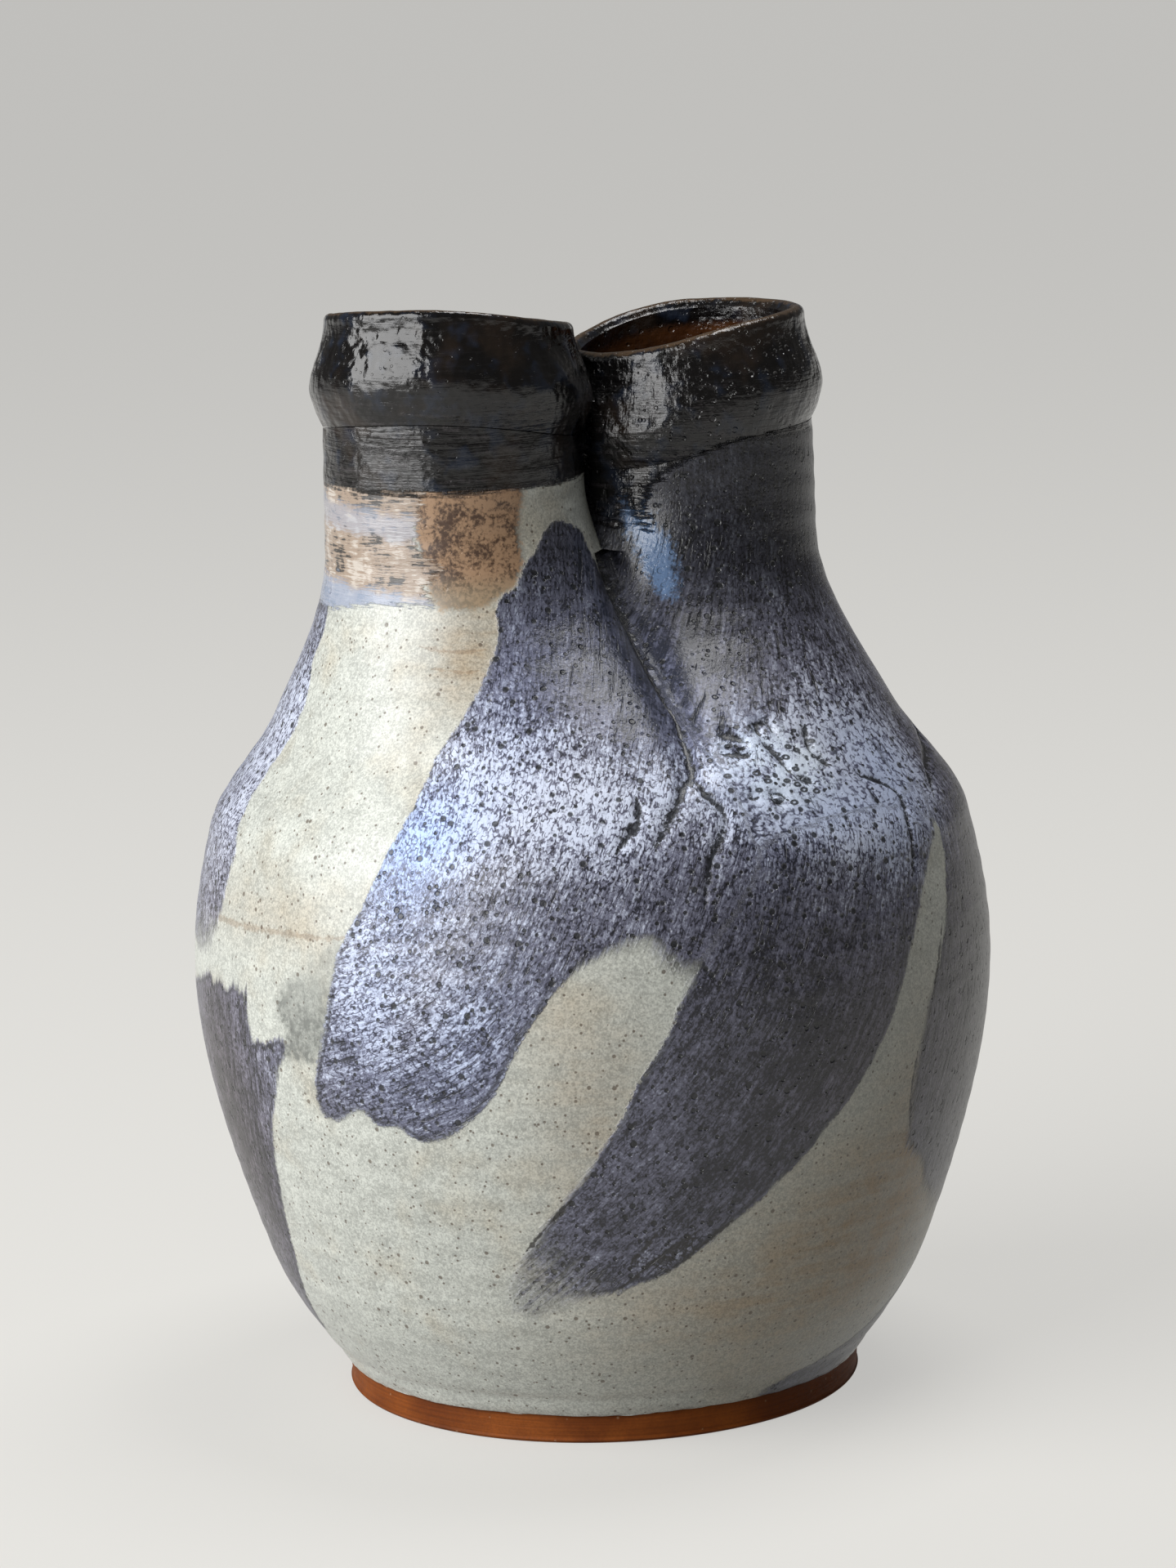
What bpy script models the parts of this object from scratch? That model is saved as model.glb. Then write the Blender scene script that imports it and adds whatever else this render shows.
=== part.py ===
"""Double-neck stoneware vase: a thrown pot, pinched at the front and the back into two necks.

Metres, +Z up. The origin is the centre of the foot, on the surface that the vase stands on.
The two necks stand side by side along X, the left one at -X, and the pinched creases face -Y and +Y.
"""

import math

import bpy
import numpy as np

# Foot: the bare turned foot with the floor of the pot
FOOT_RADIUS = 0.0625
FOOT_HEIGHT = 0.0074
FOOT_CHAMFER = 0.0012
FOOT_RING_WIDTH = 0.0110
FOOT_RECESS = 0.0030
FLOOR_RISE = 0.0036

# Body: heights and outer radii of the thrown wall, from the heel above the foot up to the neck
HEEL_RADIUS = 0.0640
HIP_HEIGHT = 0.0360
HIP_RADIUS = 0.0811
BELLY_HEIGHT = 0.1060
BELLY_RADIUS = 0.0968
SHOULDER_HEIGHT = 0.1400
SHOULDER_RADIUS = 0.0916
THROAT_HEIGHT = 0.1660
THROAT_RADIUS = 0.0750
NECK_HEIGHT = 0.2060
NECK_REACH = 0.0612
BODY_WALL = 0.0060
BODY_JOINT_HEIGHT = 0.1200

# Pinch: the creases sink in from below the neck height to the waist a little above it
PINCH_DROP = 0.0500
PINCH_RISE = 0.0200
WAIST_HALF = 0.0080
NECK_LEAN = 0.0022

# Necks: each tube has its own length and its own mouth, which tilts, positive where the front lip is the higher,
# and dips where the two necks meet
LEFT_NECK_LENGTH = 0.0315
LEFT_MOUTH_TILT = math.radians(5.7)
LEFT_MOUTH_DIP = 0.0062
LEFT_DIP_WIDTH = 0.0340
RIGHT_NECK_LENGTH = 0.0268
RIGHT_MOUTH_TILT = math.radians(0.0)
RIGHT_MOUTH_DIP = 0.0086
RIGHT_DIP_WIDTH = 0.0260
NECK_WALL = 0.0055

# Collar: the rolled band round each mouth
COLLAR_HEIGHT = 0.0275
COLLAR_BULGE = 0.0028
COLLAR_BULGE_RISE = 0.0090
LIP_SETBACK = 0.0012
LIP_WALL = 0.0052

# Slip line left between two pieces that are luted together
SLIP_GAP = 0.0003

# Fineness of the turned meshes
BODY_STEPS = 72
NECK_STEPS = 48
WALL_ROWS = 11
NECK_ROWS = 5
COLLAR_ROWS = 8
LIP_ROWS = 5

SLOPE_STEP = 0.0005
MERGE = 0.00001


def clear_scene():
    for old in list(bpy.data.objects):
        bpy.data.objects.remove(old, do_unlink=True)


def glaze(name, colour, roughness):
    """A ceramic finish of one colour."""
    material = bpy.data.materials.new(name)
    material.use_nodes = True
    shader = material.node_tree.nodes["Principled BSDF"]
    shader.inputs["Base Color"].default_value = (*colour, 1.0)
    shader.inputs["Roughness"].default_value = roughness
    shader.inputs["Metallic"].default_value = 0.0
    return material


def smooth_step(value, start, end):
    """0 before start, 1 after end, with an even S between them."""
    share = min(max((value - start) / (end - start), 0.0), 1.0)
    return share * share * (3.0 - 2.0 * share)


def smooth_curve(stations):
    """A curve through (height, radius) stations that swings past none of them and ends upright."""
    heights, radii = (np.array(column, float) for column in zip(*stations))
    rises = np.diff(heights)
    slopes = np.diff(radii) / rises
    bends = np.zeros(len(heights))
    bends[0] = ((2 * rises[0] + rises[1]) * slopes[0] - rises[0] * slopes[1]) / (rises[0] + rises[1])
    for i in range(1, len(slopes)):
        if slopes[i - 1] * slopes[i] > 0.0:
            near, far = 2 * rises[i] + rises[i - 1], rises[i] + 2 * rises[i - 1]
            bends[i] = (near + far) / (near / slopes[i - 1] + far / slopes[i])

    def radius(height):
        i = int(np.clip(np.searchsorted(heights, height) - 1, 0, len(rises) - 1))
        t = min(max((height - heights[i]) / rises[i], 0.0), 1.0)
        start = (1 + 2 * t) * (1 - t) ** 2 * radii[i] + t * (1 - t) ** 2 * rises[i] * bends[i]
        end = t * t * (3 - 2 * t) * radii[i + 1] + t * t * (t - 1) * rises[i] * bends[i + 1]
        return float(start + end)

    return radius


body_radius = smooth_curve(
    [
        (FOOT_HEIGHT, HEEL_RADIUS),
        (HIP_HEIGHT, HIP_RADIUS),
        (BELLY_HEIGHT, BELLY_RADIUS),
        (SHOULDER_HEIGHT, SHOULDER_RADIUS),
        (THROAT_HEIGHT, THROAT_RADIUS),
        (NECK_HEIGHT, NECK_REACH),
    ]
)


def crease_radius(height):
    """Distance of the crease from the axis: the wall itself below the pinch, the waist above it."""
    pinch = smooth_step(height, NECK_HEIGHT - PINCH_DROP, NECK_HEIGHT + PINCH_RISE)
    return (1.0 - pinch) * body_radius(height) + pinch * WAIST_HALF


def slanted(wall, radius, height):
    """Level thickness of a wall of this square thickness where the curve slopes."""
    slope = (radius(height + SLOPE_STEP) - radius(height - SLOPE_STEP)) / (2 * SLOPE_STEP)
    return wall * math.hypot(1.0, slope)


def neck_circle(height, reach=None, crease=None):
    """(centre, radius) of the circle that each half of the section follows.

    Two such circles, at plus and minus centre, reach that far along X and meet at the crease on Y.
    """
    reach = body_radius(height) if reach is None else reach
    crease = crease_radius(height) if crease is None else crease
    return (reach**2 - crease**2) / (2 * reach), (reach**2 + crease**2) / (2 * reach)


def section_radius(angle, centre, radius):
    """Distance from the axis to the outline of two joined circles, at an angle from X."""
    along, across = abs(math.cos(angle)), math.sin(angle)
    return centre * along + math.sqrt(radius**2 - (centre * across) ** 2)


def lean(height):
    """Sideways lean of the pinched top, towards the left neck."""
    return -NECK_LEAN * smooth_step(height, SHOULDER_HEIGHT, NECK_HEIGHT)


def turned(name, outline, steps, finish):
    """A piece turned on the wheel: its (radius, height) outline swept round the axis with Screw."""
    mesh = bpy.data.meshes.new(name)
    points = [(radius, 0.0, height) for radius, height in outline]
    on_axis = outline[0][0] == 0.0
    edges = [(i, i + 1) for i in range(len(points) - 1)]
    if not on_axis:
        edges.append((len(points) - 1, 0))
    mesh.from_pydata(points, edges, [])
    lathe = bpy.data.objects.new(name + "_outline", mesh)
    bpy.context.scene.collection.objects.link(lathe)
    screw = lathe.modifiers.new("wheel", "SCREW")
    screw.axis = "Z"
    screw.steps = screw.render_steps = steps
    screw.use_merge_vertices = True
    screw.merge_threshold = MERGE
    screw.use_smooth_shade = True
    graph = bpy.context.evaluated_depsgraph_get()
    solid = bpy.data.meshes.new_from_object(lathe.evaluated_get(graph))
    bpy.data.objects.remove(lathe, do_unlink=True)
    solid.name = name
    solid.materials.append(finish)
    solid.shade_smooth()
    solid.set_sharp_from_angle(angle=math.radians(40))
    piece = bpy.data.objects.new(name, solid)
    vase.objects.link(piece)
    return piece


def reshape(piece, move):
    """Every point of a turned piece moved by hand, while the clay is soft."""
    for vertex in piece.data.vertices:
        vertex.co = move(*vertex.co)
    piece.data.update()


def wall_outline(low, high, radius, wall, rows):
    """Closed outline of a thrown wall: down its outer side, then up its inner side."""
    heights = [high + (low - high) * i / rows for i in range(rows + 1)]
    outer = [(radius(z), z) for z in heights]
    inner = [(radius(z) - slanted(wall, radius, z), z) for z in reversed(heights)]
    return outer + inner


def make_foot():
    """Foot ring, floor and the low plug of the floor that locates the lower wall."""
    wall_bottom = FOOT_HEIGHT + SLIP_GAP
    plug = body_radius(wall_bottom) - slanted(BODY_WALL, body_radius, wall_bottom) - SLIP_GAP
    outline = [
        (0.0, FOOT_HEIGHT + FLOOR_RISE),
        (plug, FOOT_HEIGHT + FLOOR_RISE),
        (plug, FOOT_HEIGHT),
        (FOOT_RADIUS, FOOT_HEIGHT),
        (FOOT_RADIUS, FOOT_CHAMFER),
        (FOOT_RADIUS - FOOT_CHAMFER, 0.0),
        (FOOT_RADIUS - FOOT_RING_WIDTH, 0.0),
        (FOOT_RADIUS - FOOT_RING_WIDTH - FOOT_RECESS, FOOT_RECESS),
        (0.0, FOOT_RECESS),
    ]
    return turned("foot", outline, BODY_STEPS, bare_clay)


def make_lower_body():
    """Thrown bowl from the foot to the joint at the belly."""
    low, high = FOOT_HEIGHT + SLIP_GAP, BODY_JOINT_HEIGHT
    outline = wall_outline(low, high, body_radius, BODY_WALL, WALL_ROWS)
    return turned("lower_body", outline, BODY_STEPS, celadon)


def make_upper_body():
    """Thrown shoulder, pinched at the front and the back towards the two necks."""
    low, high = BODY_JOINT_HEIGHT + SLIP_GAP, NECK_HEIGHT
    outline = wall_outline(low, high, body_radius, BODY_WALL, WALL_ROWS)
    shoulder = turned("upper_body", outline, BODY_STEPS, slate)

    def pinch(x, y, z):
        angle = math.atan2(y, x)
        thrown, wall = body_radius(z), slanted(BODY_WALL, body_radius, z)
        crease, fold = crease_radius(z), slanted(BODY_WALL, crease_radius, z)
        depth = (thrown - math.hypot(x, y)) / wall
        outer = section_radius(angle, *neck_circle(z))
        inner = section_radius(angle, *neck_circle(z, thrown - wall, crease - fold))
        radius = outer + (inner - outer) * depth
        return radius * math.cos(angle) + lean(z), radius * math.sin(angle), z

    reshape(shoulder, pinch)
    return shoulder


def seat_neck(piece, side, neck_top, mouth):
    """Sets a turned neck or rim on the shoulder, on its side of the pinch, with its own mouth.

    The wall is pressed flat against the other neck, and the mouth dips where the two meet.
    """
    tilt, dip, dip_width = mouth

    def settle(x, y, z):
        centre, _ = neck_circle(z)
        along = max(centre + x, SLIP_GAP / 2)
        drop = dip * math.exp(-((along / dip_width) ** 2)) + math.tan(tilt) * y
        return side * along + lean(z), y, z - drop * smooth_step(z, NECK_HEIGHT, neck_top)

    reshape(piece, settle)
    if side < 0:
        piece.data.flip_normals()
    return piece


def neck_radius(height):
    return neck_circle(height)[1]


def make_neck(name, side, neck_top, mouth):
    """Plain tube of one neck, from the shoulder up to its collar."""
    outline = wall_outline(NECK_HEIGHT + SLIP_GAP, neck_top, neck_radius, NECK_WALL, NECK_ROWS)
    neck = turned(name, outline, NECK_STEPS, slate)
    return seat_neck(neck, side, neck_top, mouth)


def make_rim(name, side, neck_top, mouth):
    """Rolled collar of one neck: a round swelling under a rounded lip."""
    base = neck_top + SLIP_GAP
    tube = neck_radius(neck_top)
    lip_round = LIP_WALL / 2
    lip_height = neck_top + COLLAR_HEIGHT - lip_round
    collar = smooth_curve(
        [
            (base, tube),
            (base + COLLAR_BULGE_RISE, tube + COLLAR_BULGE),
            (lip_height, tube - LIP_SETBACK),
        ]
    )
    lip_centre = tube - LIP_SETBACK - lip_round
    turns = [math.pi * i / LIP_ROWS for i in range(LIP_ROWS + 1)]
    lip = [(lip_centre - lip_round * math.cos(t), lip_height + lip_round * math.sin(t)) for t in turns]
    heights = [lip_height + (base - lip_height) * i / COLLAR_ROWS for i in range(1, COLLAR_ROWS + 1)]
    outer = [(collar(z), z) for z in heights]
    inner = [(tube - NECK_WALL, base), (tube - NECK_WALL, base + COLLAR_BULGE_RISE)]
    rim = turned(name, lip + outer + inner, NECK_STEPS, tenmoku)
    return seat_neck(rim, side, neck_top, mouth)


clear_scene()
vase = bpy.data.collections.new("double_neck_vase")
bpy.context.scene.collection.children.link(vase)

bare_clay = glaze("bare_clay", (0.36, 0.13, 0.045), 0.75)
celadon = glaze("celadon_glaze", (0.42, 0.41, 0.32), 0.35)
slate = glaze("slate_glaze", (0.13, 0.13, 0.18), 0.40)
tenmoku = glaze("tenmoku_glaze", (0.020, 0.017, 0.015), 0.12)

make_foot()
make_lower_body()
make_upper_body()
for side_name, side, neck_length, mouth in (
    ("left", -1, LEFT_NECK_LENGTH, (LEFT_MOUTH_TILT, LEFT_MOUTH_DIP, LEFT_DIP_WIDTH)),
    ("right", 1, RIGHT_NECK_LENGTH, (RIGHT_MOUTH_TILT, RIGHT_MOUTH_DIP, RIGHT_DIP_WIDTH)),
):
    make_neck(side_name + "_neck", side, NECK_HEIGHT + neck_length, mouth)
    make_rim(side_name + "_rim", side, NECK_HEIGHT + neck_length, mouth)
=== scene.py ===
"""Looks of the double-neck vase: seven glazed and fired pieces that stand for the seven CAD nodes.

Metres, +Z up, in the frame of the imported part: the left neck is at -X and the front crease faces -Y.
Places on the pot are (degrees round it from +X, millimetres up), so the front crease is at -90.
"""

import math

import bpy
import numpy as np
from mathutils import Matrix, Vector


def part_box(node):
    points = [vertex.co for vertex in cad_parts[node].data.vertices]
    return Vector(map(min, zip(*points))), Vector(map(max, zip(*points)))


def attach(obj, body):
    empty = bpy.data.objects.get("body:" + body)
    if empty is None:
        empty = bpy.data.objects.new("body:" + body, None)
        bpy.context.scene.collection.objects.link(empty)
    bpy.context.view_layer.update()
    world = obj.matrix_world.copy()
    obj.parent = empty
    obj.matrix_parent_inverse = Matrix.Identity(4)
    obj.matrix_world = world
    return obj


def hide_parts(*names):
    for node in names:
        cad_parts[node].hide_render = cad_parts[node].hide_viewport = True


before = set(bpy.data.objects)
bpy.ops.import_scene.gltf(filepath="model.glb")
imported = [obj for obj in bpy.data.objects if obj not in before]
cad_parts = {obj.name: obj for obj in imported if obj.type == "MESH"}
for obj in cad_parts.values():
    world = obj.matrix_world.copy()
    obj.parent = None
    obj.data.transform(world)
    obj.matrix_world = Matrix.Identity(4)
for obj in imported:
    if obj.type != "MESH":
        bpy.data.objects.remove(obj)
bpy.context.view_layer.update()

MM = 0.001

# Heights of the joints between the pieces, from the frame
FOOT_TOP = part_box("lower_body")[0].z
BODY_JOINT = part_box("lower_body")[1].z
NECK_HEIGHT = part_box("upper_body")[1].z

# Foot: bare turned ring under the heel of the pot
FOOT_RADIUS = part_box("foot")[1].x
FOOT_EASE = 0.0011
FOOT_RING_WIDTH = 0.0110
FOOT_RECESS = 0.0030
FOOT_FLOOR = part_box("foot")[1].z
FLOOR_MIDDLE = 0.0300
PLUG_PLAY = 0.0012
FOOT_TOP_INSET = 0.0010

# Thrown wall: (height, radius) from the heel up to the neck
HEEL_RADIUS = 0.0640
HIP = (0.0360, 0.0811)
BELLY = (0.1060, 0.0968)
SHOULDER = (0.1400, 0.0916)
THROAT = (0.1660, 0.0750)
NECK_REACH = 0.0612
BODY_WALL = 0.0060
GLAZE_ROLL = 0.0009

# Pinch at the front and the back, and the lean of the two necks
PINCH_DROP = 0.0500
PINCH_RISE = 0.0200
WAIST_HALF = 0.0080
NECK_LEAN = 0.0022
PRESS_GAP = 0.00015
NECK_GAP = 0.00002
PRESS_EASE = 0.0040

# Necks: side, length of the tube, tilt of the mouth in degrees,
# and depth and width of its dip towards the other neck
NECKS = {
    "left": (-1, 0.0315, 5.7, 0.0062, 0.034),
    "right": (1, 0.0268, 0.0, 0.0086, 0.026),
}
NECK_WALL = 0.0055

# Collars: a low roll where the collar starts, the bulge above it and the lip
COLLAR_HEIGHT = 0.0277
COLLAR_ROLL = 0.0017
COLLAR_ROLL_RISE = 0.0041
COLLAR_BULGE = 0.0028
COLLAR_BULGE_RISE = 0.0090
LIP_SETBACK = 0.0012
LIP_WALL = 0.0052
LINING_EDGE = 0.0080

# Fineness of the skins
BODY_STEPS = 560
NECK_STEPS = 340
ROW_PITCH = 0.0010
INNER_PITCH = 0.0045
UNDER_PITCH = 0.0020
RECESS_PITCH = 0.0060
SLOPE_STEP = 0.0004
LEAST_RISE = 1e-6
STEEPEST = 20.0
WELD = 0.00001

SEED = 7.0

# Largest value that a painted field holds, and the sharpest bend that is shaded smooth, in degrees
FIELD_LIMIT = 400.0
SMOOTH_BEND = 48

# Brushed slate strokes. edge is the outline and path the run of the brush, in degrees and millimetres.
# A stroke without a path runs straight down the neck. drag is how far the bristles part at its end,
# and fade the length over which the glaze runs out there, both in millimetres.
STROKES = {
    "front_left": {
        "edge": [
            (-113, 214), (-120, 215), (-124, 210), (-128, 205), (-129, 201), (-133, 199), (-132, 190),
            (-134, 179), (-139, 166), (-141, 156), (-145, 138), (-150, 122), (-152, 105), (-155, 90),
            (-154, 83), (-151, 83), (-147, 86), (-144, 83), (-141, 83), (-137, 80), (-132, 83),
            (-126, 93), (-121, 108), (-114, 122), (-105, 128), (-102, 123), (-98, 121), (-84, 132),
            (-80, 155), (-88, 172), (-90, 190), (-93, 200), (-99, 204), (-106, 211),
        ],
        "path": [
            (-102, 222), (-107, 190), (-113, 165), (-119, 140), (-125, 120), (-134, 105), (-148, 95),
            (-160, 88),
        ],
        "drag": 0.5,
    },
    "front_right": {
        "edge": [
            (-98, 121), (-102, 107), (-106, 96), (-110, 83), (-116, 69), (-122, 56), (-126, 47),
            (-127, 40), (-124, 36), (-120, 39), (-116, 41.5), (-110, 42.5), (-107, 44.5), (-103, 46),
            (-98, 51), (-89, 62), (-81, 73), (-77, 80), (-72, 89), (-68, 99), (-65.5, 106),
            (-62.5, 115), (-59, 124), (-56, 131), (-52, 137), (-49, 143), (-47, 148), (-47, 153),
            (-62, 166), (-86, 158), (-95, 138),
        ],
        "path": [(-66, 190), (-70, 160), (-77, 128), (-86, 100), (-98, 74), (-112, 52), (-124, 36)],
        "drag": 2.0,
        "fade": 26.0,
    },
    "right_neck": {
        "edge": [
            (-90, 275), (-90, 208), (-101, 205), (-98, 196), (-94, 186), (-92, 165), (-95, 142),
            (-85, 136), (-60, 134), (-52, 138), (-49, 143), (-47, 149), (-44, 140), (-20, 138),
            (-12, 136), (-6, 130), (0, 129), (6, 133), (12, 138), (18, 137), (24, 139), (34, 148),
            (60, 154), (90, 166), (90, 206), (90, 275),
        ],
        "path": None,
        "drag": 3.0,
    },
    "right_side": {
        "edge": [
            (-47, 149), (-47.8, 141), (-48.5, 133), (-51.8, 121), (-54.4, 113), (-57.7, 104),
            (-59.6, 95), (-60.6, 84), (-60, 75), (-59, 68), (-53, 62), (-49, 54), (-36, 44), (-24, 48),
            (-15, 70), (-12, 95), (-14, 120), (-20, 152),
        ],
        "path": [(-28, 165), (-32, 120), (-38, 85), (-45, 42)],
        "drag": 7.0,
        "fade": 16.0,
    },
    "left_side": {
        "edge": [
            (178, 203), (180, 191), (179, 182), (182, 175), (182, 168), (180, 162), (179, 154),
            (180, 147), (182, 140), (181, 132), (180, 124), (176, 115), (168, 113), (158, 117),
            (150, 126), (146, 150), (150, 175), (162, 198),
        ],
        "path": [(167, 208), (164, 170), (164, 140), (168, 110)],
        "drag": 4.0,
        "fade": 14.0,
    },
    "left_low": {
        "edge": [
            (166, 104), (173, 107), (177.5, 109.5), (179.6, 107.7), (182.3, 109.5), (184.2, 107.4),
            (187, 109.9), (188.9, 108.7), (190.5, 109.5), (190.7, 105), (191, 100.5), (192, 97.3),
            (193.6, 98.5), (195, 97.6), (196.7, 99), (199.7, 100.7), (199.3, 96.2), (197.7, 92.6),
            (195.8, 85.7), (193.1, 77.3), (191.1, 68), (189.5, 58.7), (187.5, 50), (185, 37.6),
            (181, 25), (177, 18), (166, 21), (158, 45), (154, 75), (160, 100),
        ],
        "path": [(174, 20), (178, 55), (182, 90), (183, 116)],
        "drag": 3.6,
    },
    "heel": {
        "edge": [
            (-78, 8), (-64, 13), (-54, 16), (-44, 21), (-32, 30), (-22, 34), (-20, 22), (-34, 12),
            (-50, 7), (-66, 6),
        ],
        "path": [(-18, 30), (-40, 19), (-60, 11), (-80, 6)],
        "drag": 1.0,
    },
    "back_right": {
        "edge": [
            (52, 206), (47, 175), (38, 150), (28, 120), (20, 90), (18, 66), (27, 58), (38, 62),
            (47, 72), (56, 95), (66, 120), (78, 140), (92, 152), (96, 175), (90, 200),
        ],
        "path": [(74, 210), (70, 165), (54, 125), (38, 90), (26, 55)],
        "drag": 2.5,
        "fade": 22.0,
    },
    "back_left": {
        "edge": [
            (104, 214), (100, 190), (98, 165), (94, 140), (88, 112), (90, 92), (100, 84), (112, 88),
            (122, 100), (130, 125), (136, 150), (141, 175), (138, 200), (125, 214),
        ],
        "path": [(120, 220), (120, 180), (114, 140), (102, 80)],
        "drag": 2.5,
        "fade": 18.0,
    },
}

# Thin patches: dark glaze drawn out on the left neck, an iron stain beside it, a watery swipe on the belly
VEIL_PATCH = [
    (150, 232), (152, 199), (165, 196), (180, 195), (193, 197), (207, 198), (212, 198), (209, 202),
    (213, 206), (207, 211), (208, 222), (208, 232),
]
RUST_PATCH = [
    (-152, 232), (-129, 232), (-129, 216), (-128, 205), (-132, 200), (-138, 197), (-146, 197),
    (-150, 202), (-153, 214),
]
WASH_PATCH = [
    (-150, 126), (-155, 119), (-161, 112), (-162, 106), (-160, 102), (-162, 96), (-156, 96),
    (-149, 99), (-146, 113),
]

# Dark glaze of the collars: its lower edge on each neck in mm, and a run of it beside the front crease
DARK_EDGE = {"left": 223.5, "right": 231.0}
DARK_RUN = [
    (-92, 240), (-92, 224), (-86, 216), (-81, 211), (-77, 214), (-74, 219), (-71, 211), (-68, 218),
    (-63, 224), (-52, 229), (-40, 233), (-40, 240),
]
BLUE_RUN = [
    (-74, 222), (-76, 211), (-77, 203), (-76, 196), (-70, 199), (-66, 207), (-69, 214), (-70, 220),
]

# Where the slate is pale: frosted glaze, on the shoulders in part a painted sheen of the light, and at the
# right edge near -36 degrees darkened as a painted shade: degrees, mm up, half-width and half-height in mm,
# weight
FROST_SHEEN_AND_SHADE = [
    (-124, 160, 28, 15, 0.5), (-136, 147, 17, 14, 0.26), (-104, 153, 22, 10, 0.32),
    (-106, 186, 24, 14, -0.18), (-141, 113, 22, 22, 0.24), (-147, 124, 12, 16, 0.2),
    (-129, 107, 10, 12, 0.18), (-108, 140, 30, 12, 0.06), (-72, 158, 26, 10, 0.85),
    (-55, 153, 24, 14, 0.72), (-66, 147, 24, 15, 0.32), (-52, 171, 24, 10, 0.22),
    (-73, 185, 12, 9, -0.25), (-104, 176, 10, 8, -0.12), (-100, 146, 9, 7, -0.15),
    (-90, 176, 20, 14, -0.24), (-84, 102, 30, 32, -0.34), (-92, 68, 18, 16, -0.14),
    (-112, 54, 30, 24, -0.14), (-101, 50, 9, 6, 0.3), (-36, 100, 30, 54, -0.46),
    (-48, 16, 34, 14, -0.32), (178, 158, 34, 34, 0.5), (180, 74, 22, 44, -0.34),
    (195, 88, 10, 16, 0.1), (104, 160, 40, 18, 0.36), (58, 152, 34, 16, 0.26), (12, 168, 34, 16, 0.22),
]
FROST_SHEEN_AND_SHADE_GROUND = 0.45
# Where it is thin and blue at the edge, in part a painted reflection of the sky; where the brush left it
# streaky; and where iron makes it brown, at the right edge in part a painted shade
BLUE_EDGE_AND_SKY_REFLECTION = [
    (-138, 146, 18, 13, 0.8), (-64, 156, 32, 22, 0.45), (-136, 112, 24, 26, 0.35),
    (-112, 176, 24, 24, 0.25), (150, 150, 12, 20, 0.7),
]
STREAKY = [
    (-70, 184, 40, 30, 1.0), (190, 84, 22, 34, 0.8), (-60, 146, 24, 18, 0.7), (-140, 98, 26, 16, 0.9),
    (-82, 110, 34, 50, 0.6), (-109, 46, 15, 9, 1.0), (-48, 86, 18, 34, 0.8), (-125, 118, 30, 26, 0.5),
    (70, 180, 40, 30, 1.0), (110, 120, 50, 40, 0.6),
]
# Brown of iron in the slate; at the right edge near -36 degrees it is in part a painted shade
BROWN_AND_SHADE = [(-36, 92, 34, 46, 1.0), (178, 72, 22, 46, 1.0), (-72, 92, 26, 26, 0.4), (50, 96, 30, 40, 0.6)]
# Where a stroke starts dry and its edge is feathered
FEATHERED = [
    (-103, 124, 12, 7, 1.0), (-122, 42, 12, 8, 0.6), (-117, 64, 8, 14, 0.35), (-150, 100, 6, 10, 0.3),
    (-57, 84, 8, 26, 0.45), (-38, 46, 20, 8, 0.5), (30, 60, 14, 8, 0.6),
]
# Where the pale ground is stained tan, and where it is browned at the lower right near the heel as a
# painted warm shade
TAN_AND_SHADE = [
    (-137, 188, 12, 14, 0.8), (-168, 128, 32, 9, 0.35), (-95, 34, 34, 18, 0.5),
    (-112, 88, 14, 26, 0.5), (-64, 50, 36, 26, 1.0), (-58, 76, 14, 30, 0.5), (-120, 112, 10, 12, 0.25),
    (150, 60, 30, 24, 0.4), (60, 40, 40, 20, 0.4),
]
# Thin tan lines on the ground: the joint of the two thrown halves, and drawn rings near the neck
STAIN_LINES = [
    (0.7, [(160, 124), (180, 123.6), (190, 124.2), (200, 125.2), (208, 125.6), (214, 127.5)]),
    (0.4, [(-149, 189), (-141, 188), (-133, 188.6)]),
    (0.35, [(-146, 184.5), (-137, 183.8), (-134, 184.4)]),
    (0.6, [(40, 124), (60, 124.6), (84, 123.8)]),
]

# Cracks in the glaze below the pinch, and the blisters beside them: half-width in mm, then the line
CRACKS = [
    (0.6, [(-91, 203), (-91, 192), (-91.5, 182), (-91, 173)]),
    (0.8, [(-91, 173), (-92, 167), (-93, 162), (-94, 160)]),
    (0.85, [(-94, 161), (-96, 159), (-98, 155), (-100, 151.5), (-102, 148)]),
    (0.85, [(-93, 161), (-92, 157), (-90, 153), (-92, 148.5), (-94, 144.5), (-95, 141), (-96, 134)]),
    (0.8, [(-104, 157.5), (-104, 153.7), (-106, 150.5), (-108, 147)]),
    (0.6, [(-61, 156.5), (-55.5, 153.2), (-54, 150), (-55.8, 145), (-56.8, 139), (-58.4, 133)]),
    (0.7, [(-22, 158), (-30, 155.2), (-37, 153.2), (-41.3, 150.1), (-44, 147)]),
    (0.7, [(-85, 168.6), (-83, 168.4), (-80, 166.8)]),
    (0.5, [(-77, 167.4), (-76, 169.4), (-73, 170.2), (-73.5, 167.8)]),
    (0.7, [(-77, 166.4), (-75.5, 163), (-75, 159.6)]),
    (0.6, [(-65, 168), (-67, 165.5), (-68, 163)]),
    (0.45, [(-86, 164.8), (-80.5, 164.1)]),
    (0.8, [(-67.6, 161.8), (-65.6, 159.6)]),
    (0.7, [(-74.6, 158.4), (-71.4, 156.8)]),
    (0.4, [
        (-81.4, 155.2), (-80.6, 156.1), (-79.2, 156.0), (-78.5, 155.1), (-79.4, 154.2), (-80.8, 154.3),
        (-81.4, 155.2),
    ]),
    (0.5, [(-85, 155.9), (-83.2, 155.5)]),
    (0.9, [(89, 180), (90, 168), (92, 160), (93, 150), (92, 138)]),
    (0.7, [(91, 161), (85, 154), (81, 144)]),
    (0.6, [(104, 160), (108, 157), (107, 151)]),
]
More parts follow.
